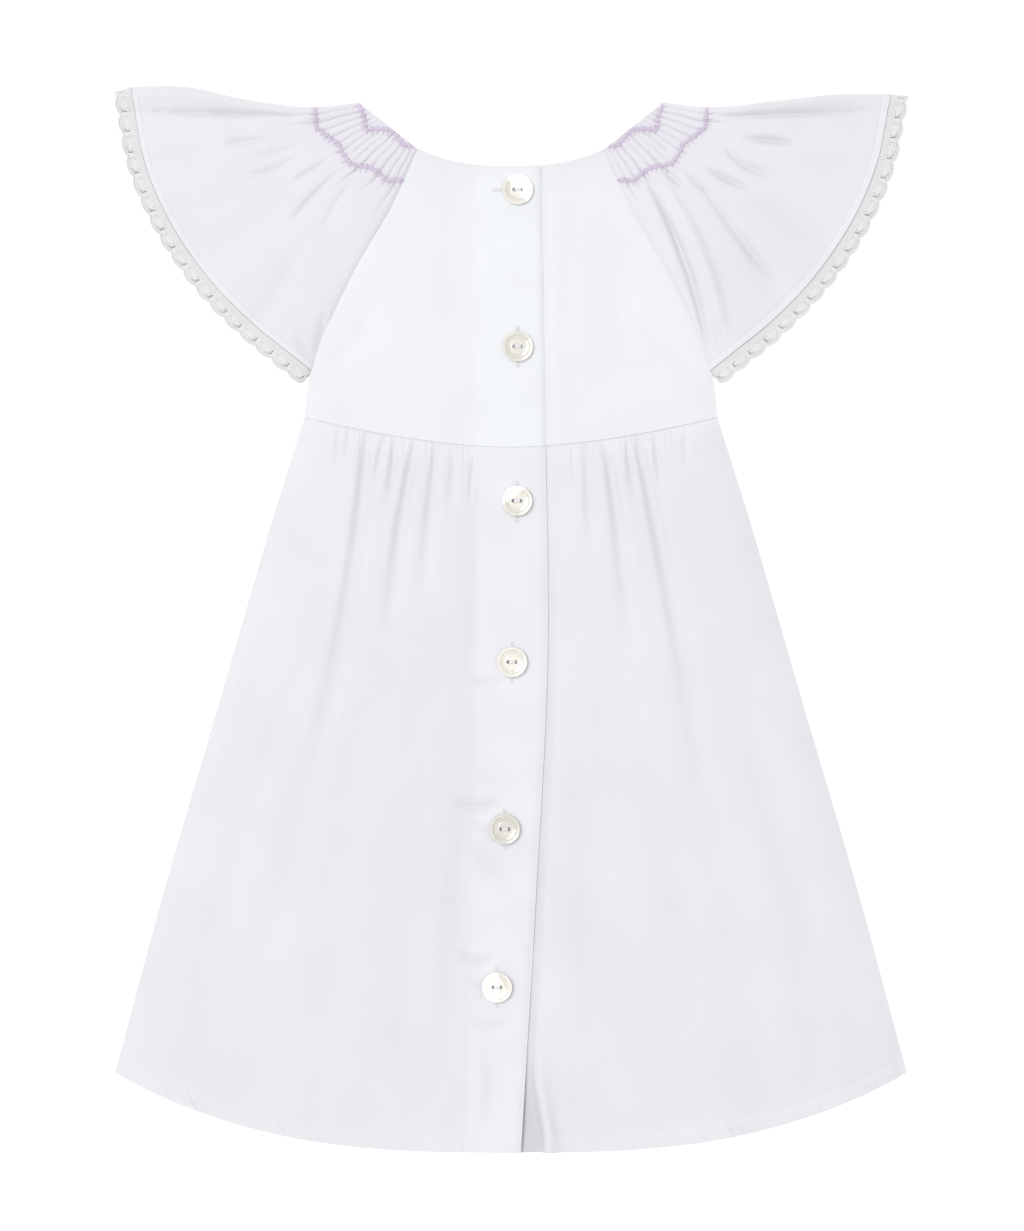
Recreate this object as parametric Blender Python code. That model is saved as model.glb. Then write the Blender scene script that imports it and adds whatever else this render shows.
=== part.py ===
"""Toddler dress, laid flat on its front: six buttons down the centre back, flutter sleeves.

Sizes are in millimetres and the meshes are written in metres. X runs across the dress, Y from
hem to neck, and Z up from the surface that the dress lies on. The front panels lie on the
surface, the back panels lie on them, and the button placket is uppermost.
"""
import bpy
import numpy as np

MM = 0.001

# Walls and the gaps between pieces
CLOTH = 1.2             # one layer of cotton, made up to a wall
PLACKET_CLOTH = 1.8     # the folded band that carries the buttonholes
LACE_WALL = 1.0
GAP = 0.3
SEAM_GAP = 0.36         # between the sleeves, the bodice and the lace
LAYER = CLOTH + GAP     # height of one layer with the gap above it

# Bodice and skirt
WAIST_Y, WAIST_RISE, WAIST_HALF, WAIST_POWER = 79.4, 13.8, 95.0, 1.7
HEM_Y, HEM_RISE, HEM_HALF, HEM_POWER = -245.4, 36.8, 182.4, 2.8
NECK_Y, NECK_RISE, NECK_HALF, NECK_POWER = 208.6, 8.1, 43.2, 2.7
FRONT_NECK_Y, FRONT_NECK_RISE, FRONT_NECK_HALF = 192.0, 15.0, 46.0
UNDERLAP_SHORT = 4.5    # the button side ends this far inside the placket
CLIMB_START, CLIMB_RUN = 3.0, 4.0   # where the placket side steps up onto the button side
PLACKET_CLEARANCE = 1.2 # flat strip of the button side beside the placket
SKIRT_PUFF = 3.3        # how far the gathered skirt stands off the front
PUFF_RISE, PUFF_FALL = 8.0, 170.0   # how fast it rises below the waist and sinks to the hem
PUFF_AT_HEM = 0.35      # share of the puff that is left at the hem
GATHER_END = 1.15       # a gather fades out this far past its own end
GATHER_LIP = 1.7        # half widths from a gather's middle to its lips
BODICE_PUFF = 0.8
EDGE_SOFTNESS = 7.0     # how fast the cloth rises from a seam or an edge
SKIRT_ROWS = (0.0, 0.012, 0.035, 0.07, 0.12, 0.19, 0.29, 0.42, 0.58, 0.76, 0.975, 1.0)
LEFT_SHUT = (-1.0, -0.5, -0.06, 0.0, 0.035)     # columns across and beside the placket
RIGHT_SHUT = (-1.0, -0.5, 0.0, 0.05)
SIDE_COLUMNS = (0.8, 0.88, 0.95, 1.0)
BODICE_COLUMNS = (0.12, 0.26, 0.42, 0.58, 0.74, 0.87, 0.95, 1.0)

# Sleeves and lace
SLEEVE_PUFF = 2.3
ROLL_PUFF, ROLL_WIDTH = 2.8, 6.0   # the soft fold along the top of each sleeve
ROLL_START = 0.25       # share of the sleeve's length over which the fold opens
DIP, DIP_PLACE, DIP_WIDTH = 0.6, 11.0, 3.0      # hollow below that fold
SEAM_RISE, FOLD_RISE = 5.0, 3.0     # how fast a sleeve rises from its seam and its fold
NECK_REACH, HEM_REACH = 34.0, 150.0     # from seam to fold, at the neck and at the hem
FLUTE_WIDTH, FLUTE_START, FLUTE_END = 0.045, 0.08, 0.15
CORNER_DRAW = 0.12      # share of the hem that is drawn in to each corner
SLEEVE_COLUMNS = (0.0, 0.06, 0.13, 0.2, 0.24, 0.3, 0.36, 0.42, 0.5, 0.58, 0.66, 0.74, 0.82, 0.9, 0.96)
SLEEVE_ROWS = (0.0, 0.08, 0.17, 0.28, 0.42, 0.56, 0.7, 0.85, 1.0)
FOLD_TURNS = (55.0, 0.0, -55.0)     # degrees round the top fold
LACE_WIDTH = 8.6
SCALLOP_PITCH, SCALLOP_DEPTH = 9.2, 2.2
SCALLOP_STEPS = 3

# Buttons
BUTTON_R, BUTTON_H = 7.0, 2.4
RIM_W, DISH_DEPTH = 1.5, 0.7
HOLE_R, HOLE_SPACING = 0.85, 3.4
BUTTON_SIDES, HOLE_SIDES = 24, 10

# Half the width of the skirt, from waist to hem
SIDE = [  # y, half width
    (93.2, 95.2),
    (55.0, 107.2),
    (-37.0, 134.1),
    (-129.0, 161.0),
    (-208.6, 182.4),
]
# The buttonhole placket: it drifts to the left towards the hem
PLACKET = [  # y, left edge, right edge
    (208.0, -13.8, 14.0),
    (80.0, -14.6, 16.0),
    (-12.0, -15.2, 17.0),
    (-128.0, -17.5, 11.5),
    (-245.0, -20.5, 4.6),
]
# Right half of the raglan seam, and the side seam below it down to the waist
RAGLAN = [  # x, y
    (43.2, 216.7),
    (54.4, 191.6),
    (72.3, 160.4),
    (86.8, 129.2),
    (91.8, 114.5),
]
FRONT_RAGLAN = [  # x, y
    (46.0, 207.0),
    (57.0, 184.0),
    (73.5, 156.0),
    (87.2, 128.5),
    (91.8, 114.5),
]
UNDERARM = [  # x, y
    (91.8, 114.5),
    (93.6, 107.0),
    (95.2, 93.2),
]
# Outer edge of the lace on the right sleeve, from underarm to tip
LACE_EDGE = [  # x, y
    (96.1, 107.9),
    (123.1, 128.6),
    (149.3, 156.2),
    (166.8, 183.8),
    (177.6, 211.4),
    (181.8, 241.6),
]
# Shoulder fold from the neck to the tip, one row of heights for each sleeve
SHOULDER = [  # x, y on the left, y on the right
    (69.9, 237.6, 237.6),
    (90.0, 235.3, 235.3),
    (120.0, 238.5, 238.0),
    (150.0, 244.6, 241.2),
    (174.5, 244.8, 241.6),
]
# Deep gathers below the waist seam, each a trough that runs down the skirt
GATHERS = [  # x at waist, x at end, y at end, depth, half width
    (-66.0, -84.0, -40.0, 1.0, 3.2),
    (-53.5, -56.0, 55.0, 0.7, 2.0),
    (-43.9, -54.5, 5.0, 1.0, 2.8),
    (-34.0, -38.5, 28.0, 0.8, 2.6),
    (-24.0, -26.0, 48.0, 0.5, 2.2),
    (34.3, 37.5, 35.0, 0.7, 2.4),
    (43.8, 52.5, 8.0, 1.0, 2.8),
    (58.0, 83.0, -45.0, 1.0, 3.2),
    (70.0, 72.0, 60.0, 0.6, 2.2),
]
# Troughs that fan out from the smocking over each sleeve, in the sleeve's own fractions
FLUTES = [  # fraction from seam to fold, first and last fraction from neck to hem, depth
    (0.24, 0.14, 0.62, 0.8),
    (0.42, 0.16, 0.50, 0.6),
    (0.58, 0.16, 0.48, 0.7),
    (0.74, 0.16, 0.55, 0.6),
    (0.50, 0.62, 1.10, 0.5),
    (0.30, 0.70, 1.10, 0.6),
]
# Buttons from neck to hem
BUTTONS = [  # x, y
    (3.2, 197.6),
    (3.2, 125.4),
    (2.8, 54.5),
    (0.5, -19.6),
    (-2.8, -96.4),
    (-6.4, -169.1),
]

WHITE = (0.93, 0.93, 0.95)
LACE_WHITE = (0.86, 0.86, 0.87)
SHELL = (0.82, 0.79, 0.71)


def remove_everything():
    for scene_object in list(bpy.data.objects):
        bpy.data.objects.remove(scene_object)


def material(name, colour, roughness):
    paint = bpy.data.materials.new(name)
    paint.use_nodes = True
    shader = paint.node_tree.nodes["Principled BSDF"]
    shader.inputs["Base Color"].default_value = (*colour, 1.0)
    shader.inputs["Roughness"].default_value = roughness
    shader.inputs["Metallic"].default_value = 0.0
    return paint


def smooth(knots, values, at):
    """Cubic curve through the knots, which rise."""
    knots, values, at = (np.asarray(a, float) for a in (knots, values, at))
    slope = np.gradient(values, knots)
    i = np.clip(np.searchsorted(knots, at) - 1, 0, len(knots) - 2)
    span = knots[i + 1] - knots[i]
    t = np.clip((at - knots[i]) / span, 0.0, 1.0)
    return (values[i] * (1 + 2 * t) * (1 - t) ** 2 + values[i + 1] * t * t * (3 - 2 * t)
            + span * t * (1 - t) * (slope[i] * (1 - t) - slope[i + 1] * t))


def curve(points, t):
    """Points at fractions t of the length of a smooth curve through the table's points."""
    points = np.asarray(points, float)
    run = np.concatenate([[0.0], np.cumsum(np.linalg.norm(np.diff(points, axis=0), axis=1))])
    at = np.asarray(t, float) * run[-1]
    return np.stack([smooth(run, points[:, 0], at), smooth(run, points[:, 1], at)], axis=-1)


def by_height(table, column, y):
    rows = np.asarray(table[::-1], float)
    return smooth(rows[:, 0], rows[:, column], y)


def side_x(y):
    return by_height(SIDE, 1, y)


def placket_left(y):
    return by_height(PLACKET, 1, y)


def placket_right(y):
    return by_height(PLACKET, 2, y)


def bowl(x, low, rise, half, power):
    """Height of an edge that is lowest in the middle and rises to both sides."""
    return low + rise * (np.abs(x) / half) ** power


def waist_y(x):
    return bowl(x, WAIST_Y, WAIST_RISE, WAIST_HALF, WAIST_POWER)


def hem_y(x):
    return bowl(x, HEM_Y, HEM_RISE, HEM_HALF, HEM_POWER)


def neck_y(x):
    return bowl(x, NECK_Y, NECK_RISE, NECK_HALF, NECK_POWER)


def front_neck_y(x):
    return bowl(x, FRONT_NECK_Y, FRONT_NECK_RISE, FRONT_NECK_HALF, 2.0)


def patch(u, v, low, high, near, far):
    """Grid between four edges: low and high run along u, near and far along v."""
    u_col, v_row = u[None, :, None], v[:, None, None]
    low, high, near, far = low[None], high[None], near[:, None], far[:, None]
    corners = ((1 - u_col) * (1 - v_row) * near[:1] + u_col * (1 - v_row) * far[:1]
               + (1 - u_col) * v_row * near[-1:] + u_col * v_row * far[-1:])
    return (1 - v_row) * low + v_row * high + (1 - u_col) * near + u_col * far - corners


def at_height(flat, z):
    return np.dstack([flat, z])


def cloth(name, outer, inner, paint):
    """One closed wall between an outer and an inner grid of points."""
    rows, columns = outer.shape[:2]
    points = np.concatenate([outer.reshape(-1, 3), inner.reshape(-1, 3)])
    number = np.arange(rows * columns).reshape(rows, columns)
    under = number + rows * columns
    faces = []
    for i in range(rows - 1):
        for j in range(columns - 1):
            a, b, c, d = number[i, j], number[i, j + 1], number[i + 1, j + 1], number[i + 1, j]
            faces.append((a, b, c, d))
            a, b, c, d = under[i, j], under[i, j + 1], under[i + 1, j + 1], under[i + 1, j]
            faces.append((d, c, b, a))
    for i in range(rows - 1):
        faces.append((number[i + 1, 0], under[i + 1, 0], under[i, 0], number[i, 0]))
        faces.append((number[i, -1], under[i, -1], under[i + 1, -1], number[i + 1, -1]))
    for j in range(columns - 1):
        faces.append((number[0, j], under[0, j], under[0, j + 1], number[0, j + 1]))
        faces.append((number[-1, j + 1], under[-1, j + 1], under[-1, j], number[-1, j]))
    triangles = []
    for a, b, c, d in faces:
        triangles += [(a, b, c), (a, c, d)]
    corners = points[np.array(triangles)]
    volume = np.einsum("ij,ij->i", corners[:, 0], np.cross(corners[:, 1], corners[:, 2])).sum()
    if volume < 0:
        triangles = [(a, c, b) for a, b, c in triangles]
    mesh = bpy.data.meshes.new(name)
    mesh.from_pydata((points * MM).tolist(), [], [tuple(map(int, t)) for t in triangles])
    mesh.materials.append(paint)
    piece = bpy.data.objects.new(name, mesh)
    bpy.context.collection.objects.link(piece)
    return piece


def fade(distance, width):
    """0 at an edge, 1 well inside it."""
    return 1 - np.exp(-np.maximum(distance, 0.0) / width)


def beside_placket_x(y):
    """Where the button side comes out from under the placket."""
    return placket_right(y) + PLACKET_CLEARANCE


def beside_placket(x, y):
    """0 over the flat placket, 1 well to either side of it."""
    return fade(np.maximum(x - beside_placket_x(y), placket_left(y) - x), EDGE_SOFTNESS)


def skirt_lift(x, y):
    """How far the back of the skirt stands off the front: full below the waist, with troughs."""
    below = waist_y(x) - y
    sink = PUFF_AT_HEM + (1 - PUFF_AT_HEM) * np.exp(-(below / PUFF_FALL) ** 2)
    puff = SKIRT_PUFF * fade(below, PUFF_RISE) * sink
    for x_top, x_end, y_end, depth, width in GATHERS:
        length = waist_y(x_top) - y_end
        s = np.clip(below / length, 0.0, GATHER_END)
        middle = x_top + (x_end - x_top) * s
        spread = width * (1 + s)
        left_over = np.clip(GATHER_END - s, 0, 1)
        puff = puff * (1 - depth * np.exp(-((x - middle) / spread) ** 2) * left_over)
    return puff * beside_placket(x, y) * fade(side_x(y) - np.abs(x), EDGE_SOFTNESS)


def bodice_lift(x, y):
    from_edges = fade(WAIST_HALF - np.abs(x), EDGE_SOFTNESS) * fade(y - waist_y(x), EDGE_SOFTNESS)
    return BODICE_PUFF * beside_placket(x, y) * from_edges


def fractions(*stops):
    """Fractions between stops, each stop a (fraction, steps up to the next) pair."""
    values = []
    for (start, steps), (end, _) in zip(stops, stops[1:]):
        values += [start + (end - start) * k / steps for k in range(steps)]
    return np.array(values + [stops[-1][0]])


def gather_columns(band_x, side):
    """Fractions from a panel's placket to its side, with a column in each trough and both lips."""
    found = []
    for x_top, x_end, y_end, depth, width in GATHERS:
        if x_top * side > 0:
            y = (waist_y(x_top) + y_end) / 2
            run = side * side_x(y) - band_x(y)
            for step in (-GATHER_LIP, 0.0, GATHER_LIP):
                found.append(((x_top + x_end) / 2 + side * step * width - band_x(y)) / run)
    return found


def across(columns, y, inner_x, band_x, side):
    """Places across a panel at height y: 0 to 1 runs from band to side, 0 to -1 from band to edge."""
    band = band_x(y)
    return np.where(columns < 0, band - columns * (inner_x(y) - band),
                    band + columns * (side * side_x(y) - band))


def skirt_grid(inner_x, band_x, side, columns):
    grid = np.zeros((len(SKIRT_ROWS), len(columns), 2))
    x_top = x_low = np.zeros(len(columns))
    for _ in range(8):
        x_top = across(columns, waist_y(x_top), inner_x, band_x, side)
        x_low = across(columns, hem_y(x_low), inner_x, band_x, side)
    for i, row in enumerate(SKIRT_ROWS):
        y = (waist_y(x_top) - GAP / 2) * (1 - row) + hem_y(x_low) * row
        grid[i, :, 0] = across(columns, y, inner_x, band_x, side)
        grid[i, :, 1] = y
    return grid


def upright(line_x, low_edge, high_edge, t):
    """Points up a nearly upright line, from the waist seam to the neck."""
    low_y, high_y = low_edge(line_x(WAIST_Y)), high_edge(line_x(NECK_Y))
    y = low_y + (high_y - low_y) * t
    return np.stack([line_x(y), y], axis=-1)


def bodice_grid(inner_x, band_x, side, columns, neck, raglan):
    """Back or front of the bodice from its inner edge to the side and raglan seams."""
    t = fractions((0.0, 2), (0.16, 8), (1.0, 0))
    edge = [(x * side, y) for x, y in UNDERARM[::-1]] + [(x * side, y) for x, y in raglan[::-1]][1:]
    far = curve(edge, t)
    near = upright(band_x, waist_y, neck, t)
    main = columns[columns >= 0]
    low_x = near[0, 0] + (far[0, 0] - near[0, 0]) * main
    high_x = near[-1, 0] + (far[-1, 0] - near[-1, 0]) * main
    low = np.stack([low_x, waist_y(low_x)], axis=-1)
    high = np.stack([high_x, neck(high_x)], axis=-1)
    far[0], far[-1] = low[-1], high[-1]
    grid = patch(main, t, low, high, near, far)
    strip = []
    for c in columns[columns < 0]:
        strip.append(upright(lambda y, c=c: across(c, y, inner_x, band_x, side), waist_y, neck, t))
    if strip:
        grid = np.concatenate([np.stack(strip, axis=1), grid], axis=1)
    grid[0, :, 1] += GAP / 2
    return grid


def centre_x(y):
    return np.zeros(np.shape(y))


def left_side_x(y):
    return -side_x(y)


def front_pieces(paint):
    grid = skirt_grid(left_side_x, left_side_x, 1, fractions((0.0, 14), (1.0, 0)))
    level = np.zeros(grid.shape[:2])
    cloth("skirt_front", at_height(grid, level + CLOTH), at_height(grid, level), paint)
    half = bodice_grid(centre_x, centre_x, 1, fractions((0.0, 6), (1.0, 0)), front_neck_y,
                       FRONT_RAGLAN)
    grid = np.concatenate([half[:, :0:-1] * (-1, 1), half], axis=1)
    level = np.zeros(grid.shape[:2])
    cloth("bodice_front", at_height(grid, level + CLOTH), at_height(grid, level), paint)


def underlap_x(y):
    """Free edge of the button side, hidden under the placket."""
    return placket_left(y) + UNDERLAP_SHORT


def back_heights(x, y, lift, overlaps):
    """Lower and upper face of a back panel; the overlapping one climbs onto the underlap."""
    climb = np.clip((x - placket_left(y) + CLIMB_START) / CLIMB_RUN, 0.0, 1.0) * overlaps
    low = LAYER + lift + LAYER * climb
    return low, low + CLOTH + (PLACKET_CLOTH - CLOTH) * climb


def back_pieces(paint):
    for side, word in ((-1, "left"), (1, "right")):
        overlaps = side < 0
        inner_x = placket_right if overlaps else underlap_x
        band_x = placket_left if overlaps else beside_placket_x
        shut = LEFT_SHUT if overlaps else RIGHT_SHUT
        columns = np.array(sorted([*shut, *gather_columns(band_x, side), *SIDE_COLUMNS]))
        columns = columns[np.append(True, np.diff(columns) > 0.01)]
        grid = skirt_grid(inner_x, band_x, side, columns)
        x, y = grid[..., 0], grid[..., 1]
        low, high = back_heights(x, y, skirt_lift(x, y), overlaps)
        cloth("skirt_back_" + word, at_height(grid, high), at_height(grid, low), paint)
        columns = np.array([*shut, *BODICE_COLUMNS])
        grid = bodice_grid(inner_x, band_x, side, columns, neck_y, RAGLAN)
        x, y = grid[..., 0], grid[..., 1]
        low, high = back_heights(x, y, bodice_lift(x, y), overlaps)
        cloth("bodice_back_" + word, at_height(grid, high), at_height(grid, low), paint)


def lace_normals(points):
    along = np.gradient(points, axis=0)
    along /= np.linalg.norm(along, axis=1)[:, None]
    return np.stack([along[:, 1], -along[:, 0]], axis=-1)


def sleeve_flat(u, v, side, front):
    """Flat places of one half of a sleeve, counted outwards from the dress's middle."""
    shoulder = [(row[0], row[1] if side < 0 else row[2]) for row in SHOULDER]
    raglan = np.array(FRONT_RAGLAN if front else RAGLAN) + (SEAM_GAP, 0.0)
    near, far = curve(raglan, v), curve(shoulder, v)
    low = near[0] + (far[0] - near[0]) * u[:, None]
    return patch(u, v, low, sleeve_hem(u, near[-1], far[-1]), near, far)


def sleeve_hem(u, underarm, tip):
    """Where the lace is sewn on: the lace's width inside its edge, drawn to the two corners."""
    edge = curve(LACE_EDGE, u)
    hem = edge - lace_normals(edge) * LACE_WIDTH
    low = np.clip(1 - u / CORNER_DRAW, 0.0, 1.0)[:, None] * (underarm - hem[0])
    high = np.clip(1 - (1 - u) / CORNER_DRAW, 0.0, 1.0)[:, None] * (tip - hem[-1])
    return hem + low + high


def sleeve_lift(u, v, reach):
    """Lift of the upper half: a soft roll along the fold, flutes that fan from the smocking."""
    from_fold = (1 - u) * reach
    opened = np.clip(v / ROLL_START, 0.0, 1.0)
    roll = ROLL_PUFF * np.exp(-(from_fold / ROLL_WIDTH) ** 2) * opened
    dip = 1 - DIP * np.exp(-((from_fold - DIP_PLACE) / DIP_WIDTH) ** 2) * opened
    body = SLEEVE_PUFF * fade(u * reach, SEAM_RISE) * fade(from_fold, FOLD_RISE) * dip
    for place, start, end, depth in FLUTES:
        along = np.clip((v - start) / FLUTE_START, 0, 1) * np.clip((end - v) / FLUTE_END, 0, 1)
        body = body * (1 - depth * along * np.exp(-((u - place) / FLUTE_WIDTH) ** 2))
    return GAP + body + roll


def fold_round(upper, fold, wall, top):
    """Outer and inner points round the fold that joins the two halves of a folded cloth."""
    inward = upper[:, -1] - fold
    inward /= np.linalg.norm(inward, axis=1)[:, None]
    outer, inner = [], []
    half_out, half_in = top / 2, top / 2 - wall
    for angle in np.radians(FOLD_TURNS):
        back = half_out * (1 - np.cos(angle))
        flat = fold + inward * back[:, None]
        outer.append(np.column_stack([flat, top / 2 + half_out * np.sin(angle)]))
        back = wall + half_in * (1 - np.cos(angle))
        flat = fold + inward * back[:, None]
        inner.append(np.column_stack([flat, top / 2 + half_in * np.sin(angle)]))
    return np.stack(outer, axis=1), np.stack(inner, axis=1)


def wrap(upper, lower, fold, lift, wall, side):
    """Outer and inner grid of a cloth folded over at its last column."""
    low = LAYER + lift
    nose_out, nose_in = fold_round(upper, fold, wall, low[:, -1] + wall)
    flat_top = at_height(upper, low + wall)
    flat_in = at_height(upper, low)
    under_out = at_height(lower, np.zeros(lower.shape[:2]))[:, ::-1]
    under_in = at_height(lower, np.full(lower.shape[:2], wall))[:, ::-1]
    outer = np.concatenate([flat_top, nose_out, under_out], axis=1)
    inner = np.concatenate([flat_in, nose_in, under_in], axis=1)
    outer[..., 0] *= side
    inner[..., 0] *= side
    return outer, inner


def folded_sleeve(side):
    u, v = np.array(SLEEVE_COLUMNS), np.array(SLEEVE_ROWS)
    upper = sleeve_flat(u, v, side, False)
    lower = sleeve_flat(u, v, side, True)
    fold = sleeve_flat(np.append(u, 1.0), v, side, False)[:, -1]
    reach = np.linspace(NECK_REACH, HEM_REACH, len(v))[:, None]
    return wrap(upper, lower, fold, sleeve_lift(u[None, :], v[:, None], reach), CLOTH, side)


def folded_lace(side):
    length = np.linalg.norm(np.diff(curve(LACE_EDGE, np.linspace(0, 1, 60)), axis=0), axis=1).sum()
    count = round(length / SCALLOP_PITCH)
    u = np.arange(count * SCALLOP_STEPS + 1) / (count * SCALLOP_STEPS)
    edge = curve(LACE_EDGE, u)
    outward = lace_normals(edge)
    bump = np.abs(np.sin(np.pi * u * count)) ** 0.7
    tip = (SHOULDER[-1][0], SHOULDER[-1][1 if side < 0 else 2])
    start = sleeve_hem(u, np.array(RAGLAN[-1]) + (SEAM_GAP, 0.0), tip) + outward * SEAM_GAP
    end = edge - outward * (SCALLOP_DEPTH * (1 - bump))[:, None]
    upper = np.stack([start, end])
    lift = sleeve_lift(u[None, :], np.ones((1, 1)), HEM_REACH)
    lift = np.concatenate([lift, lift])
    fold = upper[:, -1]
    return wrap(upper[:, :-1], upper[:, :-1], fold, lift[:, :-1], LACE_WALL, side)


def sleeve_pieces(paint, lace_paint):
    for side, word in ((-1, "left"), (1, "right")):
        outer, inner = folded_sleeve(side)
        cloth("sleeve_" + word, outer, inner, paint)
        outer, inner = folded_lace(side)
        cloth("lace_" + word, outer, inner, lace_paint)


def button_mesh(paint):
    """A turned disc with a raised rim and a dished middle, then two holes for the thread."""
    profile = [  # radius, height
        (0.0, BUTTON_H - DISH_DEPTH),
        (BUTTON_R * 0.55, BUTTON_H - DISH_DEPTH * 0.8),
        (BUTTON_R - RIM_W, BUTTON_H - DISH_DEPTH * 0.5),
        (BUTTON_R - RIM_W * 0.7, BUTTON_H),
        (BUTTON_R - RIM_W * 0.3, BUTTON_H),
        (BUTTON_R, BUTTON_H * 0.62),
        (BUTTON_R * 0.93, 0.2),
        (BUTTON_R * 0.8, 0.0),
        (0.0, 0.0),
    ]
    sides = BUTTON_SIDES
    points, faces = [(0.0, 0.0, profile[0][1])], []
    for radius, height in profile[1:-1]:
        for k in range(sides):
            turn = 2 * np.pi * k / sides
            points.append((radius * np.cos(turn), radius * np.sin(turn), height))
    points.append((0.0, 0.0, 0.0))
    last = len(points) - 1
    rings = len(profile) - 2
    for k in range(sides):
        n = (k + 1) % sides
        faces.append((0, 1 + k, 1 + n))
        faces.append((last, 1 + (rings - 1) * sides + n, 1 + (rings - 1) * sides + k))
        for r in range(rings - 1):
            a, b = 1 + r * sides, 1 + (r + 1) * sides
            faces.append((a + k, b + k, b + n, a + n))
    mesh = bpy.data.meshes.new("button")
    mesh.from_pydata((np.array(points) * MM).tolist(), [], faces)
    mesh.materials.append(paint)
    disc = bpy.data.objects.new("button_blank", mesh)
    bpy.context.collection.objects.link(disc)
    drills = []
    for x in (-HOLE_SPACING / 2, HOLE_SPACING / 2):
        bpy.ops.mesh.primitive_cylinder_add(vertices=HOLE_SIDES, radius=HOLE_R * MM,
                                            depth=3 * BUTTON_H * MM, location=(x * MM, 0, 0))
        drill = bpy.context.object
        drills.append(drill)
        cut = disc.modifiers.new("hole", "BOOLEAN")
        cut.operation = "DIFFERENCE"
        cut.object = drill
    drilled = disc.evaluated_get(bpy.context.evaluated_depsgraph_get())
    finished = bpy.data.meshes.new_from_object(drilled)
    for tool in drills + [disc]:
        bpy.data.objects.remove(tool)
    return finished


def button_pieces(paint):
    turned = button_mesh(paint)
    height = 2 * LAYER + PLACKET_CLOTH + GAP
    for number, (x, y) in enumerate(BUTTONS, 1):
        button = bpy.data.objects.new("button_%d" % number, turned.copy())
        button.location = (x * MM, y * MM, height * MM)
        bpy.context.collection.objects.link(button)


remove_everything()
cotton = material("cotton", WHITE, 0.85)
crochet = material("crochet_lace", LACE_WHITE, 0.9)
shell = material("shell", SHELL, 0.25)
front_pieces(cotton)
back_pieces(cotton)
sleeve_pieces(cotton, crochet)
button_pieces(shell)
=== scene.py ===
import bmesh
import bpy
import numpy as np
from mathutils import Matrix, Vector


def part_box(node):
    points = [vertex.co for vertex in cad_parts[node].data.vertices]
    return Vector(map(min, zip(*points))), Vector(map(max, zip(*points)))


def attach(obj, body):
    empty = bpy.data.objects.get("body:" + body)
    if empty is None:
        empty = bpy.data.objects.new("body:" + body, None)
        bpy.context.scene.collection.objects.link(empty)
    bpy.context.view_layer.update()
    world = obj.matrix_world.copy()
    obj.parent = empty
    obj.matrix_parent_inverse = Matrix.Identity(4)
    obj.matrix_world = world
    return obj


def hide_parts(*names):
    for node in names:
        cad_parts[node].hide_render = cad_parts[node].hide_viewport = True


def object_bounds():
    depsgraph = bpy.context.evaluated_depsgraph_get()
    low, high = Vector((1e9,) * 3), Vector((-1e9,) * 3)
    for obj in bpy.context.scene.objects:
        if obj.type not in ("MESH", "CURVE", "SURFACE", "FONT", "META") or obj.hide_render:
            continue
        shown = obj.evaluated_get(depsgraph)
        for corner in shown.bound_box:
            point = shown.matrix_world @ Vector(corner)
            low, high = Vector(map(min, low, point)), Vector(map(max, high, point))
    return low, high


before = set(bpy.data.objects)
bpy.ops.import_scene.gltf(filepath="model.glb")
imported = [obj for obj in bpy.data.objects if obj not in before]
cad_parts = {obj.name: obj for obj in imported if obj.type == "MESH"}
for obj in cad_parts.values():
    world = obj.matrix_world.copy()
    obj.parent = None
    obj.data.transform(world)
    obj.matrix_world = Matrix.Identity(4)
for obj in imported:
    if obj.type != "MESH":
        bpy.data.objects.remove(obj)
cad_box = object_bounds()

# Camera and studio. The camera looks straight down on the dress, which lies on a white
# light table. One large soft light stands beyond its left shoulder, a faint one opposite it,
# and the room fills the rest.
MM = 0.001
LENS, FILM = 100.0, 36.0
PICTURE_LENGTH = 0.5663     # what the long side of the picture takes in, in metres
ROOM_LIGHT = 0.74
camera_data = bpy.data.cameras.new("camera")
camera_data.lens, camera_data.sensor_width = LENS, FILM
camera = bpy.data.objects.new("camera", camera_data)
camera.location = (0.0005, 0.0018, PICTURE_LENGTH * LENS / FILM + cad_box[1][2] / 2)
bpy.context.collection.objects.link(camera)
bpy.context.scene.camera = camera

room = bpy.data.worlds.new("room")
room.use_nodes = True
room.node_tree.nodes["Background"].inputs["Color"].default_value = (1.0, 1.0, 1.0, 1.0)
room.node_tree.nodes["Background"].inputs["Strength"].default_value = ROOM_LIGHT
bpy.context.scene.world = room
bpy.context.scene.view_settings.view_transform = "Standard"


def soft_light(name, place, size, watts):
    light = bpy.data.lights.new(name, "AREA")
    light.shape, light.size, light.energy = "DISK", size, watts
    lamp = bpy.data.objects.new(name, light)
    lamp.location = place
    lamp.rotation_euler = (Vector((0, 0, 0)) - Vector(place)).to_track_quat("-Z", "Y").to_euler()
    bpy.context.collection.objects.link(lamp)


soft_light("key_light", (-1.35, 0.75, 3.4), 2.2, 76.0)
soft_light("fill_light", (0.8, -0.6, 2.4), 1.6, 6.0)


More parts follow.
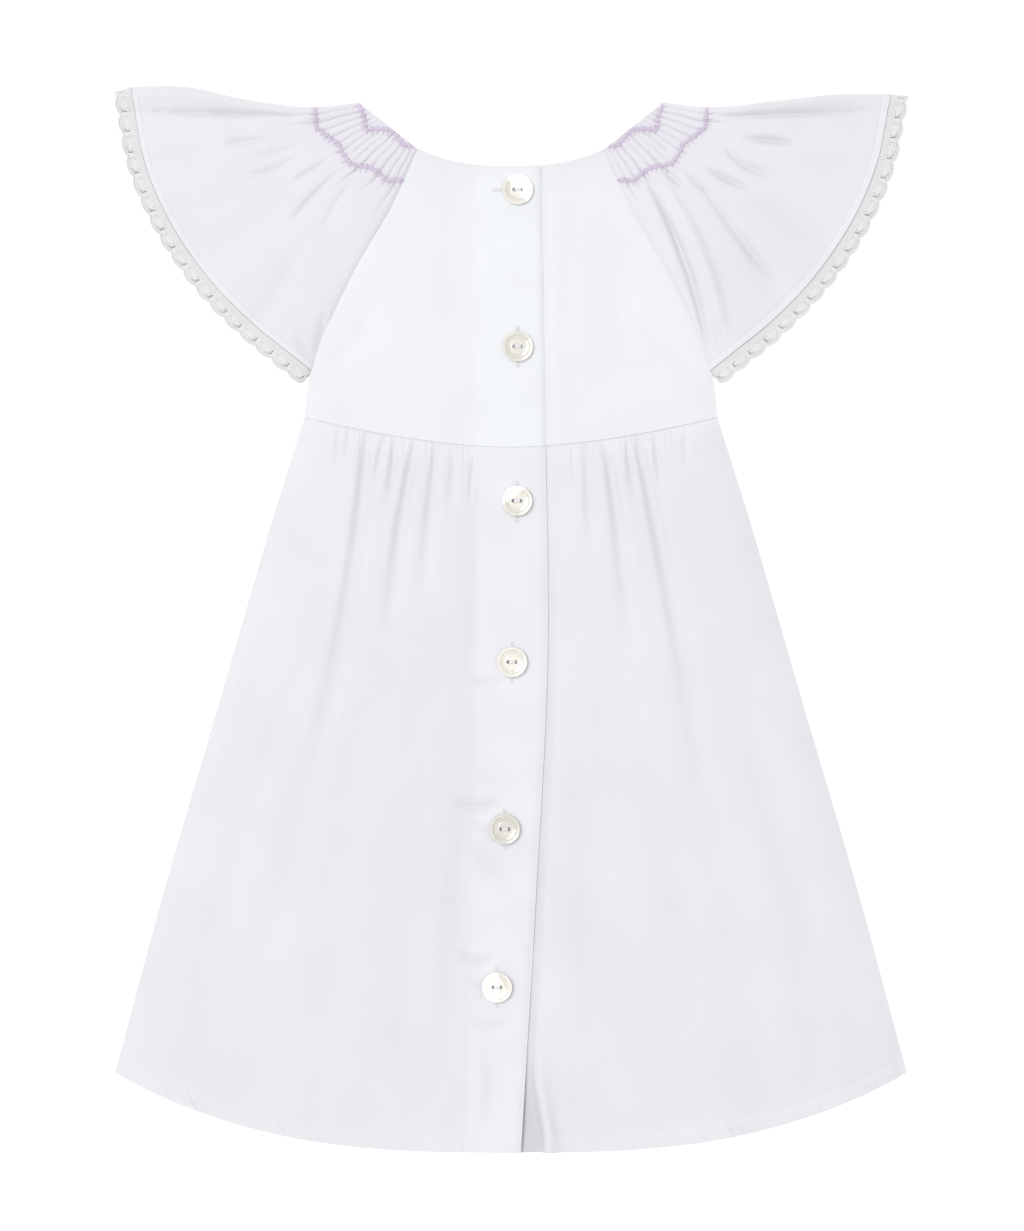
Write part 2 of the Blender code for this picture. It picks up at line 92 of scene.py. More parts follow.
# Cotton. A plain-woven white cotton, washed soft: fine threads each way, a few thicker
# than the rest, and a very faint unevenness of tone. All the panels are cut from it, and
# it is whiter where it lies doubled. Painted shade darkens it in gathers, creases and deep
# folds, and a painted lilac reflection tints it beside the smocking.
class Wire:
    """A socket among a material's nodes. Sums and products of wires add Math nodes."""

    def __init__(self, tree, socket=None):
        self.tree, self.socket = tree, socket

    def node(self, kind, settings=None, inputs=None, output=0):
        """Adds a node: its settings first, then the values or wires of its sockets."""
        made = self.tree.nodes.new(kind)
        for name, value in (settings or {}).items():
            if name == "stops":
                while len(made.color_ramp.elements) < len(value):
                    made.color_ramp.elements.new(1.0)
                for stop, (place, colour) in zip(made.color_ramp.elements, value):
                    stop.position, stop.color = place, (*colour, 1.0)
            else:
                setattr(made, name, value)
        for name, value in (inputs or {}).items():
            if isinstance(value, Wire):
                self.tree.links.new(value.socket, made.inputs[name])
            else:
                made.inputs[name].default_value = value
        return Wire(self.tree, made.outputs[output])

    def math(self, operation, first, second=0.0):
        return self.node("ShaderNodeMath", {"operation": operation}, {0: first, 1: second})

    def __add__(self, other):
        return self.math("ADD", self, other)

    def __sub__(self, other):
        return self.math("SUBTRACT", self, other)

    def __rsub__(self, other):
        return self.math("SUBTRACT", other, self)

    def __mul__(self, other):
        return self.math("MULTIPLY", self, other)

    def __pow__(self, other):
        return self.math("POWER", self, other)

    __radd__, __rmul__ = __add__, __mul__


def new_material(name, **constants):
    """A Principled material and its tree; constants go straight on the shader's sockets."""
    made = bpy.data.materials.new(name)
    made.use_nodes = True
    shader = made.node_tree.nodes["Principled BSDF"]
    for socket, value in constants.items():
        shader.inputs[socket.replace("_", " ")].default_value = value
    return made, shader, Wire(made.node_tree)


def connect(wire, shader, socket):
    wire.tree.links.new(wire.socket, shader.inputs[socket])


def mixed(wire, factor, first, second):
    """One colour or the other by a wired factor; each is a wire or a red, green, blue."""
    first, second = (c if isinstance(c, Wire) else (*c, 1.0) for c in (first, second))
    return wire.node("ShaderNodeMix", {"data_type": "RGBA"}, {0: factor, 6: first, 7: second}, output=2)


def noise(wire, place, size, detail=2.0, stretch=(1.0, 1.0, 1.0)):
    """Soft random values with a grain of about size millimetres."""
    scale = tuple(1000.0 / size * s for s in stretch)
    scaled = wire.node("ShaderNodeMapping", None, {"Vector": place, "Scale": scale})
    return wire.node("ShaderNodeTexNoise", None,
                     {"Vector": scaled, "Scale": 1.0, "Detail": detail, "Roughness": 0.5})


SINGLE, SINGLE_SHADE = (0.676, 0.672, 0.703), (0.642, 0.638, 0.672)
DOUBLED, DOUBLED_SHADE = (0.728, 0.743, 0.762), (0.70, 0.718, 0.74)
PAINTED_FOLD_SHADE = (0.43, 0.44, 0.49)     # painted shade, for the bottoms of deep folds and creases
PAINTED_LILAC_REFLECTION = (0.62, 0.55, 0.67)       # painted lilac-grey shade and reflection, beside the lilac threads
PAINTED_FOLD_SHADE_PART, PAINTED_LILAC_REFLECTION_PART = 0.2, 0.5
THREAD_PITCH = 0.34     # millimetres


def cotton_material(name):
    made, shader, wire = new_material(name, Roughness=0.8, Sheen_Weight=0.2, Sheen_Roughness=0.5)
    shader.inputs["Specular IOR Level"].default_value = 0.25
    place = wire.node("ShaderNodeTexCoord", output=3)
    split = wire.node("ShaderNodeSeparateXYZ", None, {0: place})
    rows = Wire(wire.tree, split.socket.node.outputs[1])
    turns = 2 * np.pi * 1000.0 / THREAD_PITCH
    warp = wire.math("SINE", split * turns)
    weft = wire.math("SINE", rows * turns)
    slub_across = noise(wire, place, 0.5, 1.0, (0.03, 1.0, 1.0))
    slub_along = noise(wire, place, 0.5, 1.0, (1.0, 0.03, 1.0))
    unevenness = noise(wire, place, 45.0, 2.0)
    tone = unevenness * 0.7 + slub_across * 0.15 + slub_along * 0.15
    depth = wire.node("ShaderNodeMapRange", None, {0: tone, 1: 0.35, 2: 0.68})
    doubled = wire.node("ShaderNodeAttribute", {"attribute_name": "doubled"}, output=2)
    glow = wire.node("ShaderNodeAttribute", {"attribute_name": "glow"}, output=2)
    single_cloth = mixed(wire, depth, SINGLE_SHADE, SINGLE)
    cloth = mixed(wire, doubled, single_cloth, mixed(wire, depth, DOUBLED_SHADE, DOUBLED))
    # painted shade: where the doubled mark is negative, the cloth is darkened towards a blue-grey
    cloth = mixed(wire, doubled * -PAINTED_FOLD_SHADE_PART, cloth, PAINTED_FOLD_SHADE)
    # painted lilac reflection and shade beside the smocking floss
    connect(mixed(wire, glow * PAINTED_LILAC_REFLECTION_PART, cloth, PAINTED_LILAC_REFLECTION), shader, "Base Color")
    height = warp * weft * 0.35 + slub_across * 0.9 + slub_along * 0.9
    bump = wire.node("ShaderNodeBump", None, {"Height": height, "Strength": 0.22, "Distance": 0.00012})
    connect(bump, shader, "Normal")
    connect(tone * 0.12 + 0.74, shader, "Roughness")
    return made


cotton = cotton_material("white_cotton")

# The table top. A smooth white board, lit faintly from within, just under the lowest stitches.
TABLE_Z, TABLE_GLOW = -0.0012, 0.4      # metres, emission
bpy.ops.object.select_all(action="DESELECT")
bpy.ops.mesh.primitive_plane_add(size=8.0, location=(0, 0, 0))
table_top = bpy.context.object
table_top.name = "table_top"
table_top.data.transform(table_top.matrix_world.Translation((0, 0, TABLE_Z)))
board, board_shader, board_wire = new_material("white_board", Roughness=0.9)
board_place = board_wire.node("ShaderNodeTexCoord", output=3)
connect(mixed(board_wire, noise(board_wire, board_place, 300.0), (0.93, 0.93, 0.93), (0.95, 0.95, 0.95)),
        board_shader, "Base Color")
board_shader.inputs["Emission Color"].default_value = (1.0, 1.0, 1.0, 1.0)
board_shader.inputs["Emission Strength"].default_value = TABLE_GLOW
table_top.data.materials.append(board)

# Front of the skirt. One width of cotton gathered into the waist seam, underneath, so it
# lies flat on the table with only the gathers' hollows off it. Its hem is turned up twice.
# All sizes from here on are in millimetres; meshes are written in metres.
CLOTH = 0.6             # one layer as it shows, softened by washing
LAYER = 1.5             # height of one layer and the air over it
SEAM = 0.02
WAIST_Y, WAIST_RISE, WAIST_HALF, WAIST_POWER = 79.4, 13.8, 95.0, 1.7
HEM_Y, HEM_RISE, HEM_HALF, HEM_POWER = -245.4, 36.8, 182.4, 2.8
HEM_BAND = 8.0
SIDE = [  # y, half width of the skirt
    (93.2, 95.2),
    (55.0, 107.2),
    (-37.0, 134.1),
    (-129.0, 161.0),
    (-208.6, 182.4),
]
GATHERS = [  # x at waist, x at end, y at end, bow, depth, half width
    (-79.0, -80.5, 70.0, 0.0, 0.35, 1.2),
    (-74.5, -75.6, 74.0, 0.0, 0.45, 1.2),
    (-66.0, -88.0, -62.0, 3.4, 1.25, 2.6),
    (-58.2, -62.8, 60.0, 0.0, 0.65, 1.3),
    (-53.0, -55.4, 56.0, 0.0, 0.8, 1.4),
    (-43.7, -55.0, 0.0, -1.0, 1.0, 2.1),
    (-34.0, -39.5, 18.0, 0.0, 0.8, 2.0),
    (-25.5, -27.5, 52.0, 0.0, 0.45, 1.5),
    (21.5, 22.5, 28.0, 0.0, 0.6, 1.4),
    (28.0, 29.5, 62.0, 0.0, 0.4, 1.2),
    (34.3, 37.2, 34.0, 0.0, 0.7, 1.7),
    (43.2, 53.5, 2.0, 1.0, 1.0, 2.1),
    (52.9, 56.8, 58.0, 0.0, 0.65, 1.3),
    (57.6, 86.5, -64.0, 1.4, 1.25, 2.6),
    (66.2, 69.0, 60.0, 0.0, 0.6, 1.4),
    (79.6, 80.8, 72.0, 0.0, 0.4, 1.2),
]


def smooth(knots, values, at):
    """Cubic curve through the knots, which rise."""
    knots, values, at = (np.asarray(a, float) for a in (knots, values, at))
    slope = np.gradient(values, knots)
    i = np.clip(np.searchsorted(knots, at) - 1, 0, len(knots) - 2)
    span = knots[i + 1] - knots[i]
    t = np.clip((at - knots[i]) / span, 0.0, 1.0)
    return (values[i] * (1 + 2 * t) * (1 - t) ** 2 + values[i + 1] * t * t * (3 - 2 * t)
            + span * t * (1 - t) * (slope[i] * (1 - t) - slope[i + 1] * t))


def by_height(table, column, y):
    rows = np.asarray(table[::-1], float)
    return smooth(rows[:, 0], rows[:, column], y)


def side_x(y):
    return by_height(SIDE, 1, y)


def left_side_x(y):
    return -side_x(y)


def bowl(x, low, rise, half, power):
    """Height of an edge that is lowest in the middle and rises to both sides."""
    return low + rise * (np.abs(x) / half) ** power


def waist_y(x):
    return bowl(x, WAIST_Y, WAIST_RISE, WAIST_HALF, WAIST_POWER)


def hem_y(x):
    return bowl(x, HEM_Y, HEM_RISE, HEM_HALF, HEM_POWER)


def fade(distance, width):
    """0 at an edge, 1 well inside it."""
    return 1 - np.exp(-np.maximum(distance, 0.0) / width)


def step(value, start, end):
    """Soft step from 0 at start to 1 at end."""
    t = np.clip((value - start) / (end - start), 0.0, 1.0)
    return t * t * (3 - 2 * t)


def ripple(x, y, size, seed):
    """Gentle uneven swell of about one unit, with crests some size millimetres apart."""
    draw = np.random.RandomState(seed)
    total = 0.0
    for _ in range(7):
        turn, start, scale = draw.uniform(0, np.pi), draw.uniform(0, 2 * np.pi), draw.uniform(0.7, 1.5)
        along = x * np.cos(turn) + y * np.sin(turn)
        total = total + np.sin(2 * np.pi * along / (size * scale) + start)
    return total / 3.0


def fractions(*stops):
    """Fractions between stops, each stop a (fraction, steps up to the next) pair."""
    values = []
    for (start, steps), (end, _) in zip(stops, stops[1:]):
        values += [start + (end - start) * k / steps for k in range(steps)]
    return np.array(values + [stops[-1][0]])


def across(columns, y, inner_x, band_x, side):
    """Places across a panel at height y: 0 to 1 runs from band to side, 0 to -1 from band to edge."""
    band = band_x(y)
    return np.where(columns < 0, band - columns * (inner_x(y) - band),
                    band + columns * (side * side_x(y) - band))


def skirt_grid(inner_x, band_x, side, columns, rows):
    grid = np.zeros((len(rows), len(columns), 2))
    x_top = x_low = np.zeros(len(columns))
    for _ in range(8):
        x_top = across(columns, waist_y(x_top), inner_x, band_x, side)
        x_low = across(columns, hem_y(x_low), inner_x, band_x, side)
    for i, row in enumerate(rows):
        y = (waist_y(x_top) - SEAM / 2) * (1 - row) + hem_y(x_low) * row
        grid[i, :, 0] = across(columns, y, inner_x, band_x, side)
        grid[i, :, 1] = y
    return grid


def troughs(x, y):
    """How deep the gathers cut into the cloth's fullness, from 0 to about 1."""
    below = waist_y(x) - y
    cut = 0.0
    for x_top, x_end, y_end, bow, depth, width in GATHERS:
        s = np.clip(below / (waist_y(x_top) - y_end), 0.0, 1.6)
        middle = x_top + (x_end - x_top) * s + bow * 4 * s * (1 - s)
        spread = width * (0.7 + 1.0 * s)
        cut = cut + depth * np.exp(-((x - middle) / spread) ** 2) * (1 - step(s, 0.45, 1.3))
    return 1 - np.exp(-1.5 * np.clip(cut, 0.0, 2.0))


def hem_fold(x, y):
    """The turned-up hem: a thicker band, drawn in along its stitches, with slanting puckers."""
    up = y - hem_y(x)
    band = 0.3 * (1 - step(up, HEM_BAND - 0.6, HEM_BAND + 0.6))
    stitch = -0.4 * np.exp(-((up - HEM_BAND + 1.0) / 0.8) ** 2)
    slant = ripple(x + 0.7 * up, 0.0, 3.6, 5) + 0.4 * np.sin(2 * np.pi * (x + 0.7 * up) / 5.9)
    pucker = 0.42 * slant * np.exp(-((up - 3.5) / 3.6) ** 2) * (0.8 + 0.4 * ripple(x, 0.0, 30.0, 7))
    return band + stitch + pucker


def hem_doubled(x, y):
    return 0.15 * (1 - step(y - hem_y(x), HEM_BAND - 0.8, HEM_BAND + 0.2))


def off_line(x, y, line):
    """Distance of each place from a line of points, and how far along it that is, from 0 to 1."""
    gone, along = np.full(np.shape(x), 1e3), np.zeros(np.shape(x))
    for k, (start, end) in enumerate(zip(line[:-1], line[1:])):
        dx, dy = end[0] - start[0], end[1] - start[1]
        s = np.clip(((x - start[0]) * dx + (y - start[1]) * dy) / (dx * dx + dy * dy), 0, 1)
        far = np.hypot(x - start[0] - s * dx, y - start[1] - s * dy)
        along = np.where(far < gone, (k + s) / (len(line) - 1), along)
        gone = np.minimum(gone, far)
    return gone, along


def shell(name, outer, wall, facing=1.0, doubled=0.0, glow=0.0):
    """A thin closed cloth under an outer grid of points, marked where it is doubled, where painted shade
    darkens it (a negative mark) and where a painted lilac reflection falls.
    """
    along = np.gradient(outer, axis=0)
    aside = np.gradient(outer, axis=1)
    normal = np.cross(aside, along) * facing
    normal /= np.linalg.norm(normal, axis=2)[..., None]
    inner = outer - normal * np.asarray(wall)[..., None]
    rows, columns = outer.shape[:2]
    points = np.concatenate([outer.reshape(-1, 3), inner.reshape(-1, 3)])
    number = np.arange(rows * columns).reshape(rows, columns)
    under = number + rows * columns

    def strip(a, b):
        return np.stack([a[:-1], a[1:], b[1:], b[:-1]], axis=1)

    quads = [np.stack([number[:-1, :-1], number[:-1, 1:], number[1:, 1:], number[1:, :-1]], -1),
             np.stack([under[1:, :-1], under[1:, 1:], under[:-1, 1:], under[:-1, :-1]], -1),
             strip(under[0], number[0]), strip(number[-1], under[-1]),
             strip(number[:, 0], under[:, 0]), strip(under[:, -1], number[:, -1])]
    faces = np.concatenate([q.reshape(-1, 4) for q in quads])
    if facing < 0:
        faces = faces[:, ::-1]
    mesh = bpy.data.meshes.new(name)
    mesh.from_pydata((points * MM).tolist(), [], faces.tolist())
    for mark, amount in (("doubled", doubled), ("glow", glow)):
        spread = np.broadcast_to(amount, (rows, columns)).ravel()
        mesh.attributes.new(mark, "FLOAT", "POINT").data.foreach_set("value", np.tile(spread, 2))
    mesh.materials.append(cotton)
    mesh.shade_smooth()
    mesh.set_sharp_from_angle(angle=np.radians(60))
    piece = bpy.data.objects.new(name, mesh)
    bpy.context.collection.objects.link(piece)
    return piece


def lay(piece, node):
    """The piece stands for its solid and moves with the one body."""
    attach(piece, "root")
    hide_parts(node)


def seam_lift(distance):
    """Lifts the lowest panel towards the one above it, next to the edge that they share."""
    return 0.45 * np.exp(-(np.maximum(distance, 0.0) / 1.6) ** 2)


flat = skirt_grid(left_side_x, left_side_x, 1, fractions((0.0, 6), (0.02, 120), (0.98, 6), (1.0, 0)),
                  fractions((0.0, 20), (0.07, 76), (0.97, 6), (1.0, 0)))
x, y = flat[..., 0], flat[..., 1]
from_side = side_x(y) - np.abs(x)
hollow = 0.95 * troughs(-x, y) * fade(waist_y(x) - y, 5.0) * fade(from_side, 6.0)
swell = 0.18 * (1 + ripple(x, y, 60.0, 3)) * fade(from_side, 9.0)
height = np.maximum(hollow + swell, 0.0) + seam_lift(from_side) + seam_lift(waist_y(x) - y) * 0.4
skirt_front = shell("front_skirt_cloth", np.dstack([flat, height]), CLOTH, -1.0, hem_doubled(x, y))
lay(skirt_front, "skirt_front")

# Front of the bodice. A smooth shaped piece, cut on the fold, with raglan edges and a neck a
# little lower than the back neck. It lies underneath, sewn to the skirt, sleeves and sides.
FRONT_NECK_Y, FRONT_NECK_RISE, FRONT_NECK_HALF = 192.0, 15.0, 46.0
NECK_Y, NECK_RISE, NECK_HALF, NECK_POWER = 208.6, 8.1, 43.2, 2.7
UNDERARM = [  # x, y of the side seam from underarm to waist, on the right
    (91.8, 114.5),
    (93.6, 107.0),
    (95.2, 93.2),
]
FRONT_RAGLAN = [  # x, y from neck to underarm, on the right
    (46.0, 207.0),
    (57.0, 184.0),
    (73.5, 156.0),
    (87.2, 128.5),
    (91.8, 114.5),
]


def lengths(points):
    """How far along a line of points each of them is."""
    return np.concatenate([[0.0], np.cumsum(np.linalg.norm(np.diff(points, axis=0), axis=1))])


def curve(points, t):
    """Points at fractions t of the length of a smooth curve through the table's points."""
    points = np.asarray(points, float)
    run = lengths(points)
    at = np.asarray(t, float) * run[-1]
    return np.stack([smooth(run, points[:, 0], at), smooth(run, points[:, 1], at)], axis=-1)


def neck_y(x):
    return bowl(x, NECK_Y, NECK_RISE, NECK_HALF, NECK_POWER)


def front_neck_y(x):
    return bowl(x, FRONT_NECK_Y, FRONT_NECK_RISE, FRONT_NECK_HALF, 2.0)


def patch(u, v, low, high, near, far):
    """Grid between four edges: low and high run along u, near and far along v."""
    u_col, v_row = u[None, :, None], v[:, None, None]
    low, high, near, far = low[None], high[None], near[:, None], far[:, None]
    corners = ((1 - u_col) * (1 - v_row) * near[:1] + u_col * (1 - v_row) * far[:1]
               + (1 - u_col) * v_row * near[-1:] + u_col * v_row * far[-1:])
    return (1 - v_row) * low + v_row * high + (1 - u_col) * near + u_col * far - corners


def upright(line_x, low_edge, high_edge, t):
    """Points up a nearly upright line, from the waist seam to the neck."""
    low_y, high_y = low_edge(line_x(WAIST_Y)), high_edge(line_x(NECK_Y))
    y = low_y + (high_y - low_y) * t
    return np.stack([line_x(y), y], axis=-1)


def bodice_grid(inner_x, band_x, side, columns, t, neck, raglan):
    """Back or front of the bodice from its inner edge to the side and raglan seams."""
    edge = [(x * side, y) for x, y in UNDERARM[::-1]] + [(x * side, y) for x, y in raglan[::-1]][1:]
    far = curve(edge, t)
    near = upright(band_x, waist_y, neck, t)
    main = columns[columns >= 0]
    low_x = near[0, 0] + (far[0, 0] - near[0, 0]) * main
    high_x = near[-1, 0] + (far[-1, 0] - near[-1, 0]) * main
    low = np.stack([low_x, waist_y(low_x)], axis=-1)
    high = np.stack([high_x, neck(high_x)], axis=-1)
    far[0], far[-1] = low[-1], high[-1]
    grid = patch(main, t, low, high, near, far)
    strip = [upright(lambda y, c=c: band_x(y) - c * (inner_x(y) - band_x(y)), waist_y, neck, t)
             for c in columns[columns < 0]]
    if strip:
        grid = np.concatenate([np.stack(strip, axis=1), grid], axis=1)
    grid[0, :, 1] += SEAM / 2
    return grid


def centre_x(y):
    return np.zeros(np.shape(y))


def off_edges(grid):
    """Distance of each point of a grid from its own outer column and from its first row."""
    from_side = np.linalg.norm(grid - grid[:, -1:], axis=2)
    from_waist = np.linalg.norm(grid - grid[:1], axis=2)
    return from_side, from_waist


half = bodice_grid(centre_x, centre_x, 1, fractions((0.0, 38), (0.97, 5), (1.0, 0)),
                   fractions((0.0, 5), (0.03, 60), (1.0, 0)), front_neck_y, FRONT_RAGLAN)
from_side, from_waist = off_edges(half)
height = (0.12 * (1 + ripple(half[..., 0], half[..., 1], 50.0, 8)) * fade(from_side, 6.0)
          + seam_lift(from_side) + seam_lift(from_waist) * 0.4)
flat = np.concatenate([half[:, :0:-1] * (-1, 1), half], axis=1)
height = np.concatenate([height[:, :0:-1], height], axis=1)
bodice_front = shell("front_bodice_cloth", np.dstack([flat, height]), CLOTH, -1.0, 1.0)
lay(bodice_front, "bodice_front")

# Back of the skirt and bodice. Two of each, uppermost. The left ones carry the buttonhole
# placket, a folded band that laps over the button side; the skirt is gathered below the waist.
SKIRT_PUFF, BODICE_PUFF = 3.3, 0.8
PLACKET_WALL, PLACKET_STEP = 0.6, 0.9
EDGE_SOFTNESS = 12.0
UNDERLAP_SHORT = 4.5    # the button side ends this far inside the placket
UNDERLAP_DIP = 0.4      # room made under the placket's edge
FREE_EDGE_LIFT, RIDGE_LIFT = 1.8, 2.3   # near the hem: the placket's edge, and the fold beside it
RAGLAN = [  # x, y from neck to underarm, on the right
    (43.2, 216.7),
    (54.4, 191.6),
    (72.3, 160.4),
    (86.8, 129.2),
    (91.8, 114.5),
]
PLACKET = [  # y, left edge, right edge
    (208.0, -13.8, 14.0),
    (80.0, -14.6, 16.0),
    (-12.0, -15.2, 17.0),
    (-128.0, -17.5, 11.5),
    (-245.0, -20.5, 4.6),
]
CREASES = [  # from x, y, by way of x, y, to x, y, depth, half width
    (-19, -27, -10, -29.5, -2, -28, 1.5, 2.0),
    (-27, -83, -14, -87, -5, -84, 2.4, 2.3),
    (-20, -93, -13, -96, -6, -103, 1.0, 2.2),
    (-17, -108, -9, -113, 4, -130, 1.3, 3.2),
    (-25, -153, -16, -158, -8, -155, 2.2, 2.3),
    (-21, -164, -15, -168, -12, -175, 1.2, 2.4),
    (-20, -183, -9, -188, 2, -184, 1.5, 2.6),
    (-12, -198, -9, -215, -13, -234, 1.0, 3.6),
    (3, -149, 8, -152, 10, -158, 1.0, 1.8),
    (-14, 62, -9, 64, -4, 62, 0.4, 2.0),
    (-13, 47, -8, 45, -4, 47, 0.4, 2.0),
    (-17, 76, -18, 66, -19, 52, 0.8, 1.2),
    (-9.7, 79, -10.2, 75, -10.8, 70, 0.5, 0.9),
    (-16, 40, -17, 5, -19, -30, 0.6, 3.5),
    (-70, 122, -45, 112, -20, 112, 0.9, 7.0),
    (-24, 202, -27, 160, -23, 112, 0.7, 6.5),
    (-50, 176, -62, 150, -66, 120, 0.6, 7.0),
    (30, 190, 26, 150, 30, 104, 0.6, 6.0),
    (58, 180, 50, 150, 56, 124, 0.6, 8.0),
    (-84, 116, -72, 128, -60, 148, 0.8, 5.0),
    (84, 116, 72, 126, 58, 142, 0.8, 5.0),
    (24, 116, 45, 112, 72, 120, 0.8, 6.0),
    (-40, -60, -46, -120, -50, -190, 1.2, 9.0),
    (-88, -50, -104, -110, -120, -180, 0.9, 9.0),
    (-24, -100, -27, -150, -31, -215, 1.0, 6.0),
    (30, -60, 34, -120, 36, -190, 1.1, 8.0),
    (60, -60, 74, -110, 88, -170, 0.9, 9.0),
    (104, -30, 124, -100, 142, -160, 0.9, 8.0),
]


def placket_left(y):
    return by_height(PLACKET, 1, y)


def placket_right(y):
    return by_height(PLACKET, 2, y)


def underlap_x(y):
    return placket_left(y) + UNDERLAP_SHORT


def beside_placket_x(y):
    return placket_right(y) + 0.5


def beside_placket(x, y):
    """0 over the flat placket, 1 well to either side of it."""
    return fade(np.maximum(x - beside_placket_x(y), placket_left(y) - x), EDGE_SOFTNESS)


def creases(x, y, rows):
    """Depth at each point of soft creases, each bent through three points."""
    total = np.zeros(np.shape(x))
    t = np.linspace(0.0, 1.0, 13)
    for x0, y0, x1, y1, x2, y2, depth, width in rows:
        bend = [(1 - t) ** 2 * a + 2 * t * (1 - t) * (2 * b - (a + c) / 2) + t * t * c
                for a, b, c in ((x0, x1, x2), (y0, y1, y2))]
        gone, along = off_line(x, y, np.column_stack(bend))
        taper = np.sin(np.pi * np.clip(along, 0.02, 0.98)) ** 0.7
        total = total + depth * taper * np.exp(-(gone / (width * (0.35 + 0.65 * taper))) ** 2)
    return total


def skirt_lift(x, y):
    """Height of the gathered skirt over the front: full below the waist, lower to the hem."""
    below = waist_y(x) - y
    puff = SKIRT_PUFF * fade(below, 8.0) * (0.35 + 0.65 * np.exp(-(below / 170.0) ** 2))
    puff = puff * (1 - 0.95 * troughs(x, y))
    share = x / side_x(y)
    fan = 0.3 * np.sin(2 * np.pi * (4.5 * share + 0.4 * ripple(share * 40, y * 0.1, 22.0, 6)))
    fan = fan * step(below, 60.0, 200.0)
    bunched = step(np.abs(x), 16.0, 24.0) * (1 - step(np.abs(x), 70.0, 88.0))
    pucker = 0.22 * np.sin(2 * np.pi * x / 3.4 + 2.0 * ripple(x, 0.0, 17.0, 4)) * bunched
    pucker = pucker * np.exp(-below / 7.0) * fade(below, 0.8)
    soft = 0.35 * ripple(x, y * 0.3, 42.0, 1) * fade(below, 20.0) + 0.06 * ripple(x, y, 19.0, 2)
    lift = (puff + fan + soft) * beside_placket(x, y) * fade(side_x(y) - np.abs(x), EDGE_SOFTNESS)
    return np.maximum(lift, 0.0) + pucker


def bodice_lift(x, y, from_side, from_waist):
    edges = fade(from_side, EDGE_SOFTNESS) * fade(from_waist, EDGE_SOFTNESS)
    swell = BODICE_PUFF * (1 + 0.7 * ripple(x, y, 46.0, 9)) + 0.09 * ripple(x, y, 17.0, 10)
    return swell * beside_placket(x, y) * edges


def neck_facing(x, y):
    """The facing inside the neck shows as a faint step, with one upright edge on the left."""
    down = neck_y(x) - y
    inside = step(np.abs(x - 2.0), 15.5, 17.5) * (1 - step(np.abs(x), 35.0, 40.0))
    band = 0.22 * (1 - step(down, 3.8, 5.0)) * inside
    return band - 0.12 * np.exp(-((down - 5.2) / 0.7) ** 2) * inside


def climb(x, y):
    """How far the left panel has climbed onto the underlap, from 0 to 1."""
    return step(x, placket_left(y) - 6.5, placket_left(y) + 3.5)


def on_placket(x, y):
    edge = placket_left(y) + 0.8 * ripple(y, 0.0, 40.0, 13)
    return (0.42 + 0.12 * ripple(x, y, 26.0, 14)) * step(x, edge - 4.0, edge + 3.0)


def beside_edge_x(y):
    """The hollow to the right of the placket's edge, which opens out towards the hem."""
    return placket_right(y) + 2.3 + 7.1 * step(-y, 205.0, 246.0)


def near_hem(y):
    return step(-y, 190.0, 232.0)


def back_height(x, y, lift, from_side, overlaps):
    """Outer face of a back panel over the table, its wall, and the drop to the side seam."""
    top = 2 * CLOTH + LAYER + lift - 0.9 * np.exp(-(np.maximum(from_side, 0.0) / 5.0) ** 2)
    if overlaps:
        onto = climb(x, y)
        edge = placket_right(y) - x
        fold_line = 0.1 * step(x, placket_left(y) - 0.6, placket_left(y) + 0.6)
        round_edge = -0.8 * np.exp(-(edge / 1.7) ** 2)
        round_edge = round_edge + FREE_EDGE_LIFT * near_hem(y) * np.exp(-(edge / 8.0) ** 2)
        top = top + PLACKET_STEP * onto + fold_line + round_edge
        return top, CLOTH + (PLACKET_WALL - CLOTH) * onto - 0.35 * np.exp(-(edge / 0.8) ** 2)
    edge_x = placket_right(y)
    under_edge = step(x, edge_x - 6.0, edge_x - 3.0) * (1 - step(x, edge_x - 0.3, edge_x + 0.9))
    top = top - UNDERLAP_DIP * under_edge
    crevice_x = beside_edge_x(y)
    waver = 0.35 * ripple(y, 0.0, 34.0, 11)
    deeper = 0.45 + 0.35 * step(-y, 20.0, 130.0)
    trough = -deeper * np.exp(-((x - crevice_x - waver) / 2.1) ** 2)
    slope = np.clip((x - edge_x) / (crevice_x - edge_x), 0.0, 1.0)
    crevice = -(0.3 + 0.9 * slope) * (1 - step(x, crevice_x - 0.2, crevice_x + 1.8))
    crevice = crevice + RIDGE_LIFT * np.exp(-((x - crevice_x - 4.2) / 3.2) ** 2)
    return top + trough * (1 - near_hem(y)) + crevice * near_hem(y), np.full(np.shape(x), CLOTH)


